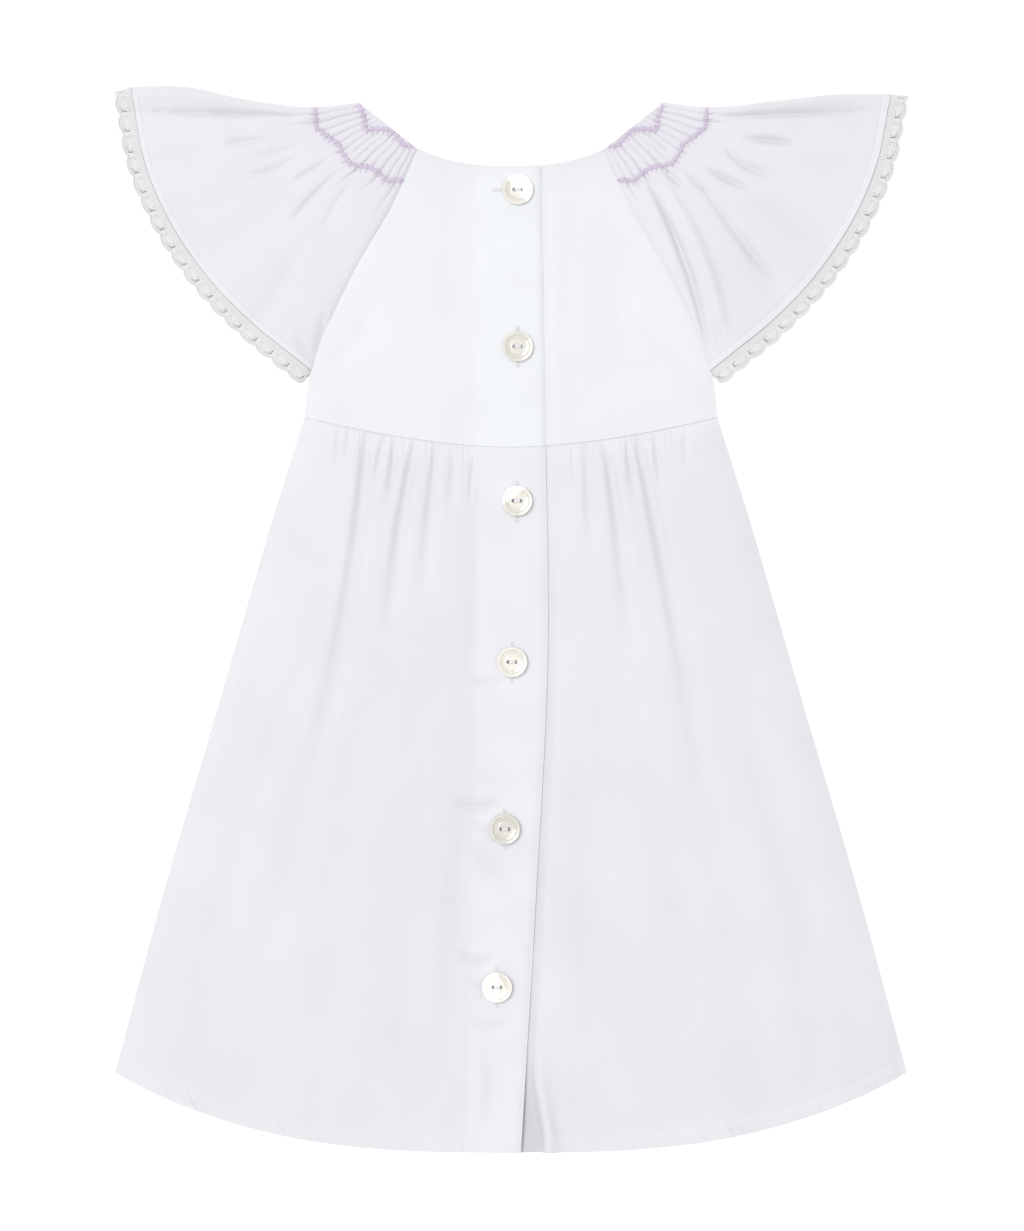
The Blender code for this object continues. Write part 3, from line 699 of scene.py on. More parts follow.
backs = {}
for side, word in ((-1, "left"), (1, "right")):
    overlaps = side < 0
    inner_x = placket_right if overlaps else underlap_x
    band_x = placket_left if overlaps else beside_placket_x
    shut = (-1.0, 3), (-0.94, 20), (0.0, 0)
    columns = np.concatenate([fractions(*shut)[:-1], fractions((0.0, 20), (0.08, 170), (0.97, 6), (1.0, 0))])
    flat = skirt_grid(inner_x, band_x, side, columns, fractions((0.0, 26), (0.07, 132), (0.96, 12), (1.0, 0)))
    x, y = flat[..., 0], flat[..., 1]
    from_side = side_x(y) - np.abs(x)
    top, wall = back_height(x, y, skirt_lift(x, y), from_side, overlaps)
    seam = -0.14 * np.exp(-((waist_y(x) - y) / 0.8) ** 2)
    top = top + hem_fold(x, y) + seam - creases(x, y, CREASES)
    allowance = (0.35 + 0.15 * ripple(x, 0.0, 16.0, 15)) * np.exp(-((waist_y(x) - y) / 7.0) ** 2)
    doubled = np.maximum(np.maximum(hem_doubled(x, y), allowance), on_placket(x, y) if overlaps else 0.0)
    # painted shade: darker at the bottom of a gather or a crease
    doubled = doubled - 0.4 * troughs(x, y) * beside_placket(x, y)
    doubled = doubled - 0.25 * np.clip(creases(x, y, CREASES), 0.0, 2.0)
    if not overlaps:
        # painted shade: the strip beside the placket is darkened as if in its shade, from the waist down and
        # most of all near the hem
        strip_end = beside_edge_x(y)
        doubled = doubled - 1.6 * step(-y, 200.0, 238.0) * (1 - step(x, strip_end - 0.5, strip_end + 3.0))
        doubled = doubled - 0.9 * (1 - step(x, strip_end - 0.5, strip_end + 3.5)) * step(-y, -70.0, 60.0)
    backs["skirt_" + word] = shell("back_skirt_cloth_" + word, np.dstack([flat, top]), wall, -side, doubled)

    columns = np.concatenate([fractions(*shut)[:-1], fractions((0.0, 10), (0.12, 48), (0.97, 5), (1.0, 0))])
    flat = bodice_grid(inner_x, band_x, side, columns, fractions((0.0, 6), (0.03, 78), (0.98, 4), (1.0, 0)),
                       neck_y, RAGLAN)
    x, y = flat[..., 0], flat[..., 1]
    from_side, from_waist = off_edges(flat)
    below_arm = 1 - step(y, 108.0, 116.0)
    lift = bodice_lift(x, y, from_side, from_waist)
    top, wall = back_height(x, y, lift, from_side + 40.0 * (1 - below_arm), overlaps)
    raglan_seam = -0.4 * np.exp(-(from_side / 0.7) ** 2) * (1 - below_arm)
    waist_seam = -0.14 * np.exp(-(from_waist / 0.8) ** 2)
    neck_edge = -0.45 * np.exp(-((neck_y(x) - y) / 0.6) ** 2)
    top = top + raglan_seam + waist_seam + neck_edge + neck_facing(x, y) - creases(x, y, CREASES)
    # painted shade: greyer within a few millimetres of the neck edge; the lined bodice, and most of all the
    # placket, are whiter as they lie doubled
    doubled = 0.6 + 0.75 * on_placket(x, y) * overlaps - 0.6 * np.exp(-(neck_y(x) - y) / 4.0)
    backs["bodice_" + word] = shell("back_bodice_cloth_" + word, np.dstack([flat, top]), wall, -side, doubled)

for word in ("left", "right"):
    lay(backs["skirt_" + word], "skirt_back_" + word)
    lay(backs["bodice_" + word], "bodice_back_" + word)
    backs["skirt_" + word]
    backs["bodice_" + word]

# Sleeves. Each is one width of cotton that goes over the shoulder, so it lies double, with a
# soft fold along its top. Smocking draws its neck edge into fine upright pleats, which open
# into folds that fan out to the hem.
SLEEVE_PUFF, ROLL_PUFF, ROLL_WIDTH = 2.3, 3.1, 5.5
NECK_WIDTH, HEM_SPREAD = 34.0, 116.0    # across a sleeve at its neck, and what it gains by the hem
LACE_WIDTH = 8.6
PLEATS = 14
OUTER_ROW = [  # the two rows of smocking, counted outwards, x and y
    (89.9, 235.2), (89.4, 226.2), (84.5, 222.2), (79.0, 218.4), (77.6, 214.9), (74.3, 209.6),
    (69.5, 208.4), (64.6, 207.8), (61.2, 205.8), (56.6, 201.6), (48.6, 202.2),
]
INNER_ROW = [
    (69.8, 236.6), (67.2, 230.0), (66.9, 225.0), (61.0, 225.4), (55.8, 225.2), (52.4, 222.0),
    (49.1, 218.0), (44.8, 217.6),
]
LACE_EDGE = [  # x, y of the lace's outer edge from underarm to tip, on the right
    (96.1, 107.9),
    (123.1, 128.6),
    (149.3, 156.2),
    (166.8, 183.8),
    (177.6, 211.4),
    (181.8, 241.6),
]
SHOULDER = [  # x, y on the left, y on the right, along the top fold
    (69.9, 237.6, 237.6),
    (90.0, 235.3, 235.3),
    (120.0, 238.5, 238.0),
    (150.0, 244.6, 241.2),
    (174.5, 244.8, 241.6),
]
FOLDS = {  # from x, y, by way of x, y, to x, y, depth, half width, counted outwards
    "left": [
        (131.5, 218.7, 123.6, 219.4, 109.9, 221.2, 1.3, 2.0),
        (116.8, 211.9, 108.0, 214.5, 99.0, 216.6, 0.9, 2.0),
        (121.7, 204.5, 109.9, 206.2, 96.2, 214.0, 1.1, 2.2),
        (100.3, 201.0, 92.5, 205.8, 83.0, 211.5, 1.1, 1.6),
        (100.5, 183.0, 92.3, 193.2, 80.0, 205.5, 1.3, 1.7),
        (86.0, 180.0, 81.0, 190.0, 72.0, 203.0, 0.7, 1.6),
        (99.0, 132.4, 95.0, 125.0, 91.5, 118.5, 0.9, 2.6),
        (85.4, 143.0, 88.0, 130.0, 91.0, 119.0, 0.9, 2.2),
        (150.0, 168.0, 128.0, 176.0, 108.0, 190.0, 0.7, 6.0),
        (170.0, 212.0, 150.0, 213.0, 132.0, 214.0, 0.6, 5.0),
        (122.0, 136.0, 108.0, 150.0, 95.0, 176.0, 0.8, 5.0),
    ],
    "right": [
        (131.5, 218.6, 119.7, 220.3, 107.0, 220.9, 2.2, 2.0),
        (124.7, 203.7, 109.0, 208.0, 98.0, 218.0, 1.6, 2.1),
        (110.9, 197.8, 100.1, 201.9, 90.0, 208.0, 1.9, 1.9),
        (122.7, 153.6, 106.0, 174.5, 85.4, 202.7, 1.5, 2.4),
        (90.5, 120.0, 81.5, 160.5, 61.9, 202.7, 2.9, 2.0),
        (98.5, 124.0, 89.0, 163.0, 69.0, 203.0, -1.7, 3.2),
        (79.5, 198.8, 75.0, 202.0, 70.0, 206.4, 1.3, 1.4),
        (92.0, 196.0, 86.0, 200.0, 80.0, 207.0, 1.0, 1.5),
        (100.0, 124.0, 96.0, 130.0, 94.0, 140.0, 1.0, 2.4),
        (152.0, 172.0, 132.0, 182.0, 112.0, 194.0, 1.1, 6.0),
        (168.0, 206.0, 150.0, 208.0, 134.0, 212.0, 0.9, 5.0),
        (128.0, 140.0, 116.0, 158.0, 106.0, 180.0, 0.9, 5.0),
    ],
}
TOP_CREASE = {  # the hollow under the rolled top fold
    "left": [(178.0, 233.6, 135.0, 232.8, 95.0, 231.0, 2.4, 1.7),
             (172.0, 236.5, 140.0, 235.8, 108.0, 233.5, 1.0, 3.6)],
    "right": [(172.0, 234.0, 126.0, 232.2, 95.0, 231.0, 2.2, 1.8),
              (168.0, 236.5, 136.0, 235.4, 108.0, 233.5, 0.9, 3.6)],
}


def outward(points):
    along = np.gradient(points, axis=0)
    along /= np.linalg.norm(along, axis=1)[:, None]
    return np.stack([along[:, 1], -along[:, 0]], axis=-1)


def sleeve_hem(u, underarm, tip):
    """Where the lace is sewn on: the lace's width inside its edge, drawn to the two corners."""
    fine = np.linspace(0.0, 1.0, 200)
    edge = curve(LACE_EDGE, fine)
    hem = edge - outward(edge) * LACE_WIDTH
    hem = hem + np.clip(1 - fine / 0.12, 0.0, 1.0)[:, None] * (underarm - hem[0])
    hem = hem + np.clip(1 - (1 - fine) / 0.12, 0.0, 1.0)[:, None] * (tip - hem[-1])
    return np.stack([np.interp(u, fine, hem[:, 0]), np.interp(u, fine, hem[:, 1])], axis=-1)


def sleeve_flat(u, v, side, front):
    """Flat places of one half of a sleeve, counted outwards from the dress's middle."""
    shoulder = [(row[0], row[1] if side < 0 else row[2]) for row in SHOULDER]
    raglan = np.array(FRONT_RAGLAN if front else RAGLAN) + (SEAM, 0.0)
    near, far = curve(raglan, v), curve(shoulder, v)
    low = near[0] + (far[0] - near[0]) * u[:, None]
    return patch(u, v, low, sleeve_hem(u, near[-1], far[-1]), near, far)


def pleats(u, v):
    """The smocked pleats: round tubes with sharp valleys, some of which run on further."""
    draw = np.random.RandomState(12)
    reach, depth = draw.uniform(0.21, 0.4, PLEATS + 1), draw.uniform(0.15, 1.3, PLEATS + 1)
    place = PLEATS * (u + 0.012 * np.sin(11.0 * u + 5.0 * v) + 0.004 * np.sin(40.0 * v))
    nearest = np.clip(np.rint(place), 0, PLEATS).astype(int)
    tube = np.abs(np.sin(np.pi * place)) ** 0.5 - 1
    valley = np.exp(-((place - nearest) / 0.14) ** 2)
    run = 1 - step(v, 0.16, reach[nearest])
    return (0.45 * tube - 0.9 * depth[nearest] * valley) * run * step(v, -0.01, 0.02)


def sleeve_lift(u, v, across_mm):
    """Lift of the upper half: a soft roll along the fold and a gentle swell between."""
    from_fold = (1 - u) * across_mm
    opened = np.clip(v / 0.25, 0.0, 1.0)
    roll = ROLL_PUFF * np.exp(-(from_fold / ROLL_WIDTH) ** 2) * (0.35 + 0.65 * opened)
    body = SLEEVE_PUFF * fade(u * across_mm, 5.0) * fade(from_fold, 3.0)
    flutes = 0.5 * np.sin(2 * np.pi * (3.2 * u + 0.15)) * step(v, 0.55, 1.0)
    inside = fade(u * across_mm, 12.0) * fade(from_fold, 12.0)
    return 0.3 + body * (0.8 + 0.2 * opened) + roll + flutes * inside


def round_fold(upper, fold, top, steps):
    """Points round the fold that joins the two halves, from top to bottom."""
    inward = upper[:, -1] - fold
    inward /= np.linalg.norm(inward, axis=1)[:, None]
    rounds = []
    for angle in np.linspace(np.pi / 2, -np.pi / 2, steps + 2)[1:-1]:
        flat = fold + inward * (top / 2 * (1 - np.cos(angle)))[:, None]
        rounds.append(np.column_stack([flat, top / 2 + top / 2 * np.sin(angle)]))
    return np.stack(rounds, axis=1)


def sleeve_grid(side, word, v):
    """Outer face of a whole sleeve: upper half, round the fold, lower half."""
    u = fractions((0.0, 6), (0.03, 128), (0.97, 3), (0.985, 0))
    u_low = fractions((0.0, 40), (0.97, 0))
    upper = sleeve_flat(u, v, side, False)
    fold = sleeve_flat(np.array([0.0, 1.0]), v, side, False)[:, -1]
    x, y = upper[..., 0], upper[..., 1]
    uu, vv = np.broadcast_arrays(u[None, :], v[:, None])
    across_mm = NECK_WIDTH + HEM_SPREAD * vv
    lift = sleeve_lift(uu, vv, across_mm)
    lift = lift + pleats(uu, vv) * fade(uu * across_mm, 1.5) * fade((1 - uu) * across_mm, 1.5)
    lift = lift - 1.3 * creases(x, y, FOLDS[word]) - creases(x, y, TOP_CREASE[word])
    inside = fade(uu * across_mm, 10.0) * fade((1 - uu) * across_mm, 14.0)
    lift = lift + 0.3 * ripple(x, y, 42.0, 21 + side) * vv * inside
    lift = lift - 0.5 * np.exp(-(uu * across_mm / 0.8) ** 2)
    from_hem = np.linalg.norm(upper - upper[-1:], axis=2)
    narrow_hem = 1 - step(from_hem, 2.2, 2.8)
    lift = lift + 0.12 * narrow_hem - 0.22 * np.exp(-((from_hem - 3.1) / 0.5) ** 2)
    lift = np.maximum(lift, -0.6)
    top = 2 * CLOTH + LAYER + lift
    lower = sleeve_flat(u_low, v, side, True)
    u2, v2 = np.broadcast_arrays(u_low[None, :], v[:, None])
    wide = NECK_WIDTH + HEM_SPREAD * v2
    low_z = (-0.55 * pleats(u2, v2) * fade(u2 * wide, 1.5) + seam_lift(u2 * wide)
             + 0.1 * (1 + ripple(lower[..., 0], lower[..., 1], 40.0, 31 + side)))
    low_z = np.maximum(low_z, 0.0)
    fold_top = top[:, -1] * 0.5 + np.convolve(np.pad(top[:, -1], 4, "edge"), np.ones(9) / 9, "valid") * 0.5
    nose = round_fold(upper, fold, fold_top, 9)
    upper3 = np.dstack([upper, top])
    lower3 = np.dstack([lower, low_z])[:, ::-1]
    whole = np.concatenate([upper3, nose, lower3], axis=1)
    # painted lilac reflection from the floss, fading within a few millimetres of the smocking rows
    near_floss = np.minimum(off_line(whole[..., 0], whole[..., 1], OUTER_ROW)[0],
                            off_line(whole[..., 0], whole[..., 1], INNER_ROW)[0])
    doubled = np.zeros(whole.shape[:2])
    # the narrow hem is whiter as it lies doubled; painted shade darkens the creases and the hollow under the
    # top fold
    painted_crease_shade = np.clip(creases(x, y, FOLDS[word]) + creases(x, y, TOP_CREASE[word]), 0.0, 2.0)
    doubled[:, :narrow_hem.shape[1]] = 0.3 * narrow_hem - 0.35 * painted_crease_shade
    whole[..., 0] *= side
    return whole, doubled, np.exp(-(near_floss / 2.2) ** 2)


sleeves, hems = {}, {}
for side, word in ((-1, "left"), (1, "right")):
    rows = fractions((0.0, 34), (0.3, 48), (0.96, 12), (1.0, 0))
    grid, doubled, near_floss = sleeve_grid(side, word, rows)
    sleeves[word] = shell("sleeve_cloth_" + word, grid, CLOTH, side, doubled, near_floss)
    hems[word] = grid[-1]
    lay(sleeves[word], "sleeve_" + word)

# Lace. A crocheted cotton edging, sewn round each sleeve's hem: three cords along its head, the
# outer two joined by bars, and a row of scallops, each a double arch round a leaf and a fan of
# spokes, with three short ties at every notch.
SCALLOP_PITCH = 9.2
BARS_BEGIN, BARS_END = 1.3, 3.5     # outwards from the hem
BOWL, ARCH, ARCH_BOW = 3.4, 6.7, 1.6    # where a scallop starts, its edge at a notch, its swell
lace_white, lace_shader, lace_wire = new_material("crochet_cotton", Roughness=0.85, Sheen_Weight=0.15)
lace_place = lace_wire.node("ShaderNodeTexCoord", output=3)
twist = noise(lace_wire, lace_place, 0.45, 1.0, (1.0, 1.6, 1.0))
connect(mixed(lace_wire, twist, (0.62, 0.62, 0.628), (0.71, 0.71, 0.717)), lace_shader, "Base Color")
lace_bump = lace_wire.node("ShaderNodeBump", None, {"Height": twist, "Strength": 0.5, "Distance": 0.0002})
connect(lace_bump, lace_shader, "Normal")


def strands(name, lines, radius, material, sides=6, flat=1.0):
    """One mesh of many threads, each along its own line of points, with closed ends."""
    points, faces, start = [], [], 0
    turn = np.linspace(0, 2 * np.pi, sides, endpoint=False)
    for line in lines:
        line, thick = (line, radius) if radius else line
        line = np.asarray(line, float)
        along = np.gradient(line, axis=0)
        along /= np.linalg.norm(along, axis=1)[:, None] + 1e-12
        upward = np.where(np.abs(along[:, 2:]) > 0.9, (1.0, 0.0, 0.0), (0.0, 0.0, 1.0))
        aside = np.cross(along, upward)
        aside /= np.linalg.norm(aside, axis=1)[:, None]
        upward = np.cross(aside, along)
        size = np.full(len(line), thick)
        size[0] = size[-1] = thick * 0.6
        ring = aside[:, None] * np.cos(turn)[:, None] + upward[:, None] * (flat * np.sin(turn))[:, None]
        points.append((line[:, None] + ring * size[:, None, None]).reshape(-1, 3))
        count = len(line)
        for k in range(count - 1):
            for s in range(sides):
                n = (s + 1) % sides
                a, b = start + k * sides, start + (k + 1) * sides
                faces.append((a + s, a + n, b + n, b + s))
        faces.append(tuple(start + s for s in range(sides))[::-1])
        faces.append(tuple(start + (count - 1) * sides + s for s in range(sides)))
        start += count * sides
    mesh = bpy.data.meshes.new(name)
    mesh.from_pydata((np.concatenate(points) * MM).tolist(), [], faces)
    mesh.materials.append(material)
    mesh.shade_smooth()
    mesh.set_sharp_from_angle(angle=np.radians(50))
    piece = bpy.data.objects.new(name, mesh)
    bpy.context.collection.objects.link(piece)
    return piece


laces = {}
for side, word in ((-1, "left"), (1, "right")):
    hem = hems[word]
    keep = np.concatenate([[True], np.linalg.norm(np.diff(hem, axis=0), axis=1) > 1e-6])
    hem = hem[keep]
    run = lengths(hem)
    fine = np.linspace(0.0, 1.0, 200)
    edge = curve(LACE_EDGE, fine) * (side, 1.0)
    reach = []
    for point in hem:
        best = edge[np.argmin(np.linalg.norm(edge - point[:2], axis=1))]
        away = best - point[:2]
        reach.append(away / np.linalg.norm(away))
    reach = np.array(reach)
    for _ in range(12):
        reach[1:-1] = (reach[:-2] + reach[1:-1] + reach[2:]) / 3
    reach /= np.linalg.norm(reach, axis=1)[:, None]
    count = int(round(run[-1] / SCALLOP_PITCH))
    pitch = run[-1] / count
    centre_z = hem[:, 2] + np.where(hem[:, 2] > 1.5, -0.25, 0.3)

    def on_lace(s, w, lift=0.0):
        """A place on the lace: s along the hem, w outwards from it."""
        px, py, pz = (np.interp(s, run, c) for c in (hem[:, 0], hem[:, 1], centre_z))
        ax, ay = np.interp(s, run, reach[:, 0]), np.interp(s, run, reach[:, 1])
        flip = np.where(pz > 1.6, 1.0, -1.0)
        return np.stack([px + ax * w, py + ay * w, pz + flip * lift], axis=-1)

    lines = []
    whole = np.linspace(0.0, run[-1], count * 8 + 1)
    lines.append((on_lace(whole, np.full(len(whole), 0.55)), 0.5))
    lines.append((on_lace(whole, 1.45 + 0.12 * np.sin(2 * np.pi * whole / pitch * 4)), 0.42))
    lines.append((on_lace(whole, np.full(len(whole), 3.35)), 0.4))
    for k in range(count):
        begin = k * pitch
        for part in np.arange(0.0, 1.0, 0.125):
            bar = np.linspace(BARS_BEGIN, BARS_END, 3)
            lines.append((on_lace(begin + pitch * (part + 0.02 * bar), bar, 0.1), 0.45))
            lines.append((on_lace(begin + pitch * (part + 0.0625 + 0.02 * bar), bar, -0.2), 0.45))
        t = np.linspace(0.0, 1.0, 13)
        bow = np.sin(np.pi * t) ** 0.7
        edge_w = ARCH + ARCH_BOW * bow
        lines.append((on_lace(begin + pitch * t, edge_w, 0.15), 0.55))
        lines.append((on_lace(begin + pitch * (0.06 + 0.88 * t), edge_w - 1.0, 0.0), 0.45))
        leaf = np.sin(np.pi * t) ** 0.6
        lines.append((on_lace(begin + pitch * (0.16 + 0.68 * t + 0.1 * leaf), BOWL + 3.0 * leaf, 0.2), 0.45))
        for tie in (-0.06, 0.0, 0.06):
            lines.append((on_lace(begin + pitch * (tie + 0.02 * t[::4]), BOWL + 3.3 * t[::4], -0.1), 0.5))
        for swing in np.linspace(-1.35, 1.35, 11):
            spoke = np.linspace(0.12, 1.0, 3)
            far = BOWL + (edge_w.max() - 4.6) * np.cos(swing) ** 0.6 * spoke
            lines.append((on_lace(begin + pitch * (0.5 + (0.06 + 0.42 * np.sin(swing)) * spoke), far), 0.42))
    laces[word] = strands("crochet_edging_" + word, lines, None, lace_white, 6, 0.7)
    lay(laces[word], "lace_" + word)

# Smocking. Two rows of lilac stranded cotton over each shoulder, worked across the pleats in
# steps: a stitch over every pleat, slanting like a rope's strands, with a short one across it.
lilac, lilac_shader, lilac_wire = new_material("lilac_floss", Roughness=0.55, Sheen_Weight=0.3)
lilac_place = lilac_wire.node("ShaderNodeTexCoord", output=3)
strand = noise(lilac_wire, lilac_place, 0.35, 1.0) * 0.4 + noise(lilac_wire, lilac_place, 2.2) * 0.6
connect(mixed(lilac_wire, strand, (0.42, 0.35, 0.47), (0.72, 0.65, 0.76)), lilac_shader, "Base Color")


def land(piece, x, y, from_above=True):
    """Where a plumb line through x, y meets a piece, in millimetres."""
    way = -1 if from_above else 1
    hit, place, _, _ = piece.ray_cast((x * MM, y * MM, -0.05 * way), (0, 0, way))
    return np.array(place) / MM if hit else None


def stitch(piece, start, end, from_above, rise, thick):
    """One stitch between two places, arched a little over a piece."""
    flip = 1.0 if from_above else -0.2
    t = np.linspace(0.0, 1.0, 5)
    places = [land(piece, *(start + (end - start) * part), from_above) for part in t]
    if any(place is None for place in places):
        return []
    lift = np.column_stack([0 * t, 0 * t, flip * (0.05 + rise * np.sin(np.pi * t))])
    return [(np.array(places) + lift, thick)]


def smocked_row(piece, row, side, from_above, seed):
    """One row: a band of slanting stitches, a knot over every pleat and a long tie beside it."""
    draw = np.random.RandomState(seed)
    corners = np.array(row, float) * (side, 1.0)
    run = lengths(corners)

    def at(s):
        return np.array([np.interp(s, run, corners[:, 0]), np.interp(s, run, corners[:, 1])])

    made = []
    for k, s in enumerate(np.arange(0.4, run[-1], 0.62)):
        here, along = at(s), at(s + 0.8) - at(s - 0.8)
        along /= np.linalg.norm(along) + 1e-9
        aside = np.array([-along[1], along[0]]) * side
        start, end = here - along * 0.8 - aside * 0.75, here + along * 0.8 + aside * 0.75
        made += stitch(piece, start, end, from_above, 0.3, 0.3)
        if k % 4 == 0:
            over = aside * draw.uniform(0.9, 1.5)
            made += stitch(piece, here - over, here + over, from_above, 0.55, 0.42)
            tie = aside * draw.uniform(1.6, 3.4)
            made += stitch(piece, here, here + tie, from_above, 0.15, 0.2)
    return made


bpy.context.view_layer.update()
for side, word in ((-1, "left"), (1, "right")):
    stitches = []
    for from_above in (True, False):
        stitches += smocked_row(sleeves[word], OUTER_ROW, side, from_above, 3)
        stitches += smocked_row(sleeves[word], INNER_ROW, side, from_above, 4)
    floss = strands("smocking_floss_" + word, stitches, None, lilac)
    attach(floss, "root")

# Stitching. White cotton thread: one line along the top of the hem, front and back, and one
# down the placket's inner edge.
STITCH, STITCH_PITCH, STITCH_THREAD = 1.9, 2.7, 0.11
sewing, sewing_shader, sewing_wire = new_material("sewing_thread", Roughness=0.6)
sewing_place = sewing_wire.node("ShaderNodeTexCoord", output=3)
connect(mixed(sewing_wire, noise(sewing_wire, sewing_place, 0.4), (0.66, 0.65, 0.69), (0.76, 0.76, 0.79)),
        sewing_shader, "Base Color")


def stitch_line(piece, path, from_above=True):
    """Short stitches along a flat path, laid on a piece."""
    path = np.asarray(path, float)
    run = lengths(path)
    flip = 1.0 if from_above else -1.0
    made = []
    for s in np.arange(0.8, run[-1] - STITCH, STITCH_PITCH):
        line = []
        for t in (0.0, 0.5, 1.0):
            x, y = (np.interp(s + t * STITCH, run, path[:, i]) for i in (0, 1))
            place = land(piece, x, y, from_above)
            if place is not None:
                line.append(place + (0, 0, flip * (0.08 * np.sin(np.pi * t) - 0.06)))
        if len(line) == 3:
            made.append(line)
    return made


def hem_path(first, last):
    x = np.linspace(first, last, 120)
    return np.column_stack([x, hem_y(x) + HEM_BAND - 1.2])


heights = np.linspace(202.0, -236.0, 200)
placket_path = np.column_stack([placket_left(heights) + 1.0, heights])
upper_part, lower_part = heights > WAIST_Y + 1, heights < WAIST_Y - 1
seams = [
    ("hem_stitches_front", skirt_front, hem_path(-178.0, 178.0), False),
    ("hem_stitches_left", backs["skirt_left"], hem_path(-178.0, placket_right(-240.0) - 1.0), True),
    ("hem_stitches_right", backs["skirt_right"], hem_path(placket_right(-240.0) + 1.5, 178.0), True),
    ("placket_stitches_bodice", backs["bodice_left"], placket_path[upper_part], True),
    ("placket_stitches_skirt", backs["skirt_left"], placket_path[lower_part], True),
]
for name, piece, path, from_above in seams:
    line = strands(name, stitch_line(piece, path, from_above), STITCH_THREAD, sewing, 4)
    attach(line, "root")

# Buttons. Round shell buttons turned with a raised rim, a dished middle and a fine ring cut
# round it, sewn on through two holes. Each buttonhole is a slot worked over with thread.
BUTTON_R, BUTTON_H = 6.9, 2.4
SEATED = 1.2        # lower than its solid, as the placket is thinner
RING_R = 4.4        # of the ticks
TURNING = [  # inset, drop, from the rim to the middle
    (0.35, -0.12), (0.8, 0.0), (0.55, -0.62), (1.4, -0.1), (0.14, -0.12), (0.22, 0.0), (0.14, 0.12),
    (1.3, -0.08),
]
HOLE_R, HOLE_SPACING = 0.85, 3.4
BUTTONS = [  # x, y, turn of the shell's grain, where the painted highlight gives way to the shell's own colour, tone, buttonhole's turn
    (3.2, 197.6, 40.0, -0.6, 0.93, 90.0),
    (3.2, 125.4, 100.0, 12.0, 0.86, 0.0),
    (2.8, 54.5, 125.0, 2.4, 0.92, 0.0),
    (0.5, -19.6, 140.0, 12.0, 0.98, 0.0),
    (-2.8, -96.4, 80.0, 12.0, 0.82, 0.0),
    (-6.4, -169.1, 178.0, -0.8, 1.0, 0.0),
]
button_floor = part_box("button_1")[0][2] / MM - SEATED


def shell_material(number, x, y, turn, split, tone):
    """Mother-of-pearl with a painted highlight: pale ivory on one side of a wavy line across the grain, the
    shell's banded grey-tan on the other.
    """
    made, shader, wire = new_material("shell_%d" % number, Roughness=0.22, Coat_Weight=0.7)
    shader.inputs["Coat Roughness"].default_value = 0.08
    place = wire.node("ShaderNodeTexCoord", output=3)
    centred = wire.node("ShaderNodeVectorMath", {"operation": "SUBTRACT"},
                        {0: place, 1: (x * MM, y * MM, 0.0)})
    turned = wire.node("ShaderNodeMapping", None,
                       {"Vector": centred, "Rotation": (0.0, 0.0, np.radians(-turn)), "Scale": (1000.0,) * 3})
    across_grain = wire.node("ShaderNodeSeparateXYZ", None, {0: turned})
    cloud = wire.node("ShaderNodeTexNoise", None, {"Vector": turned, "Scale": 0.35, "Detail": 3.0})
    bands = wire.node("ShaderNodeTexWave", {"bands_direction": "X"},
                      {"Vector": turned, "Scale": 0.5, "Distortion": 5.0, "Detail": 2.0})
    edge = across_grain + cloud * 2.4 - (split + 1.2)
    # painted highlight: pale ivory past the line, banded pearl before it
    painted_highlight = wire.node("ShaderNodeMapRange", None, {0: edge, 1: -0.35, 2: 0.35})
    pearl = wire.node("ShaderNodeValToRGB", {"stops": [
        (place, tuple(tone * part for part in colour)) for place, colour in (
            (0.0, (0.58, 0.55, 0.48)), (0.45, (0.73, 0.705, 0.635)), (0.7, (0.83, 0.81, 0.75)),
            (1.0, (0.92, 0.91, 0.86)))]}, {0: bands * 0.45 + cloud * 0.55})
    flat = wire.node("ShaderNodeSeparateXYZ", None, {0: centred})
    rows = Wire(wire.tree, flat.socket.node.outputs[1])
    radius = wire.math("SQRT", flat * flat + rows * rows) * 1000.0
    spokes = wire.math("SINE", wire.math("ARCTAN2", rows, flat) * 31.0)
    ring = wire.node("ShaderNodeMapRange", None, {0: wire.math("ABSOLUTE", radius - RING_R), 1: 0.7, 2: 0.4})
    engraved = wire.node("ShaderNodeMapRange", None, {0: spokes, 1: 0.2, 2: 0.5}) * ring
    colour = wire.node("ShaderNodeMix", {"data_type": "RGBA"},
                       {0: painted_highlight, 6: pearl, 7: (0.93, 0.93, 0.87, 1.0)}, output=2)
    connect(wire.node("ShaderNodeMix", {"data_type": "RGBA"},
                      {0: engraved * 0.5, 6: colour, 7: (0.45, 0.41, 0.33, 1.0)}, output=2),
            shader, "Base Color")
    bump = wire.node("ShaderNodeBump", None,
                     {"Height": bands * 0.3 - engraved, "Strength": 0.5, "Distance": 0.0001})
    connect(bump, shader, "Normal")
    return made


def pick_top():
    """Selects the topmost flat face of the mesh in edit mode."""
    mesh = bmesh.from_edit_mesh(bpy.context.object.data)
    for face in mesh.faces:
        face.select = False
    top = max(mesh.faces, key=lambda face: (round(face.normal.z, 3), len(face.verts)))
    top.select = True
    bmesh.update_edit_mesh(bpy.context.object.data)


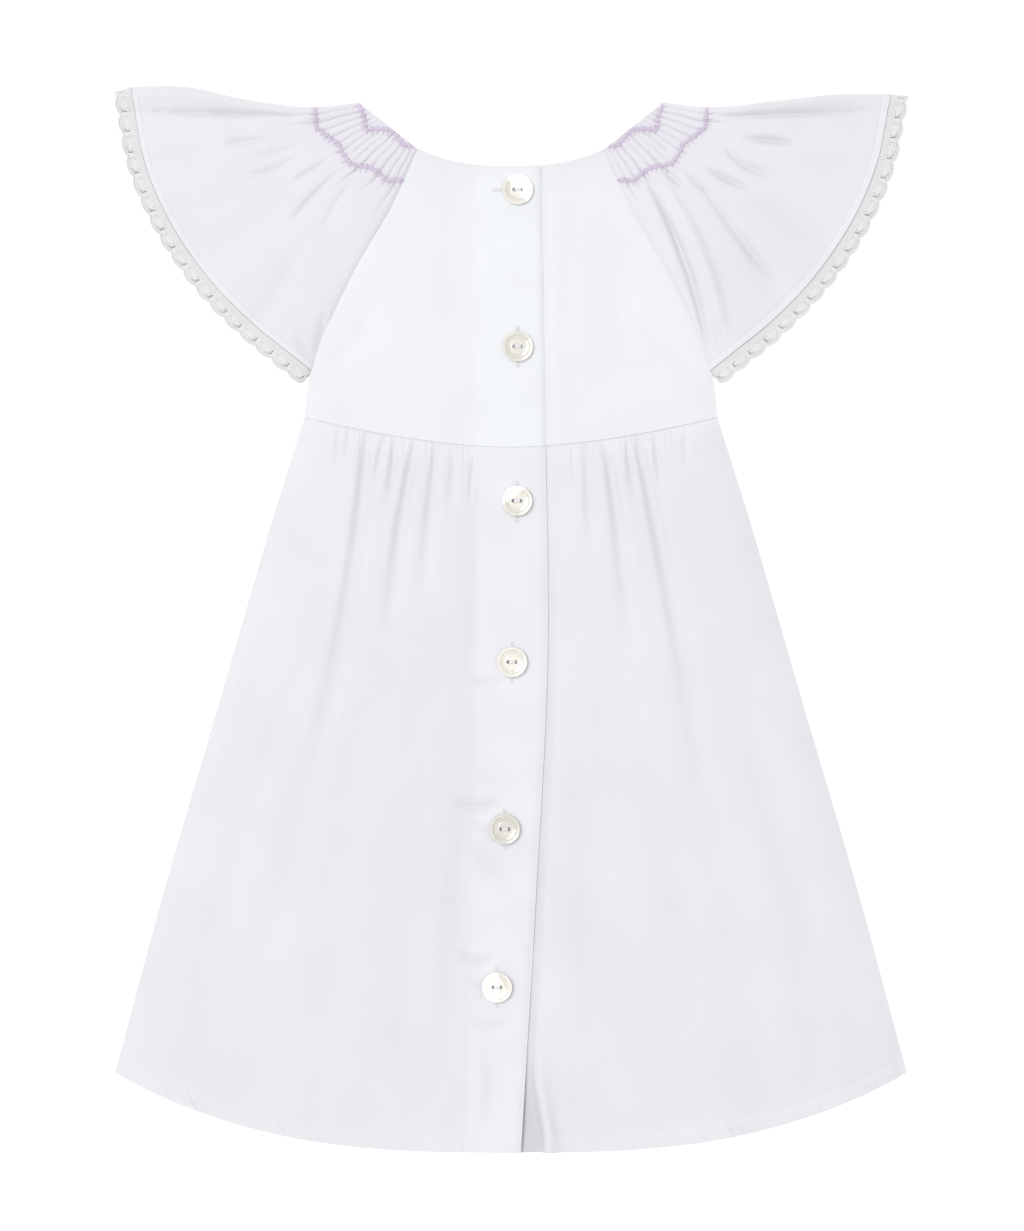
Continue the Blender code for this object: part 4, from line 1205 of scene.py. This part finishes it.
def turned_button():
    """One button at the origin, its middle at z 0."""
    bpy.ops.object.select_all(action="DESELECT")
    bpy.ops.mesh.primitive_cylinder_add(vertices=72, radius=BUTTON_R * MM, depth=BUTTON_H * MM,
                                        location=(0, 0, 0))
    button = bpy.context.object
    bpy.ops.object.mode_set(mode="EDIT")
    bpy.ops.mesh.select_mode(type="FACE")
    pick_top()
    for inset, drop in TURNING:
        bpy.ops.mesh.inset(thickness=inset * MM)
        bpy.ops.transform.translate(value=(0, 0, drop * MM))
    bpy.ops.object.mode_set(mode="OBJECT")
    soften = button.modifiers.new("soften", "BEVEL")
    soften.width, soften.segments, soften.angle_limit = 0.12 * MM, 2, np.radians(25)
    bpy.ops.object.modifier_apply(modifier="soften")
    drills = []
    for hole_x in (-HOLE_SPACING / 2, HOLE_SPACING / 2):
        bpy.ops.object.select_all(action="DESELECT")
        bpy.ops.mesh.primitive_cylinder_add(vertices=20, radius=HOLE_R * MM, depth=8 * MM,
                                            location=(hole_x * MM, 0, 0))
        drills.append(bpy.context.object)
    bpy.context.view_layer.objects.active = button
    for drill in drills:
        cut = button.modifiers.new("hole", "BOOLEAN")
        cut.operation, cut.object = "DIFFERENCE", drill
        bpy.ops.object.modifier_apply(modifier="hole")
        bpy.data.objects.remove(drill)
    button.data.shade_smooth()
    button.data.set_sharp_from_angle(angle=np.radians(35))
    return button


pattern = turned_button()
for number, (x, y, turn, split, tone, hole_turn) in enumerate(BUTTONS, 1):
    mesh = pattern.data.copy()
    mesh.transform(pattern.matrix_world.Translation((x * MM, y * MM, (button_floor + BUTTON_H / 2) * MM)))
    button = bpy.data.objects.new("shell_button_%d" % number, mesh)
    bpy.context.collection.objects.link(button)
    mesh.materials.clear()
    mesh.materials.append(shell_material(number, x, y, turn, split, tone))
    lay(button, "button_%d" % number)
    seat = button_floor + BUTTON_H - 0.75
    lines = []
    for pull in (-0.42, 0.0, 0.42):
        t = np.linspace(-1.0, 1.0, 9)
        rise = seat + 0.28 * (1 - t ** 8) - 1.2 * (np.abs(t) > 0.95)
        lines.append(np.column_stack([x + t * HOLE_SPACING / 2, y + pull * (1 - 0.4 * np.abs(t)), rise]))
    threads = strands("button_thread_%d" % number, lines, 0.24, sewing)
    turn_x, turn_y = np.cos(np.radians(hole_turn)), np.sin(np.radians(hole_turn))
    worked = []
    panel = backs["bodice_left"] if y > WAIST_Y else backs["skirt_left"]
    length, width = 9.6, 0.9
    shift = -2.2 if hole_turn else 0.0
    for along in np.arange(-length, length + 0.01, 0.42):
        for hand in (-1, 1):
            near, far = 0.04 * hand, width * hand
            line = []
            for t in (0.0, 0.5, 1.0):
                aside = near + (far - near) * t
                px = x + aside * turn_x - along * turn_y + shift
                py = y + aside * turn_y + along * turn_x
                place = land(panel, px, py)
                if place is not None:
                    line.append(place + (0, 0, 0.12 * np.sin(np.pi * t)))
            if len(line) == 3:
                worked.append(line)
    hole = strands("buttonhole_%d" % number, worked, 0.2, sewing, 5)
    for piece in (threads, hole):
        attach(piece, "root")
bpy.data.objects.remove(pattern)
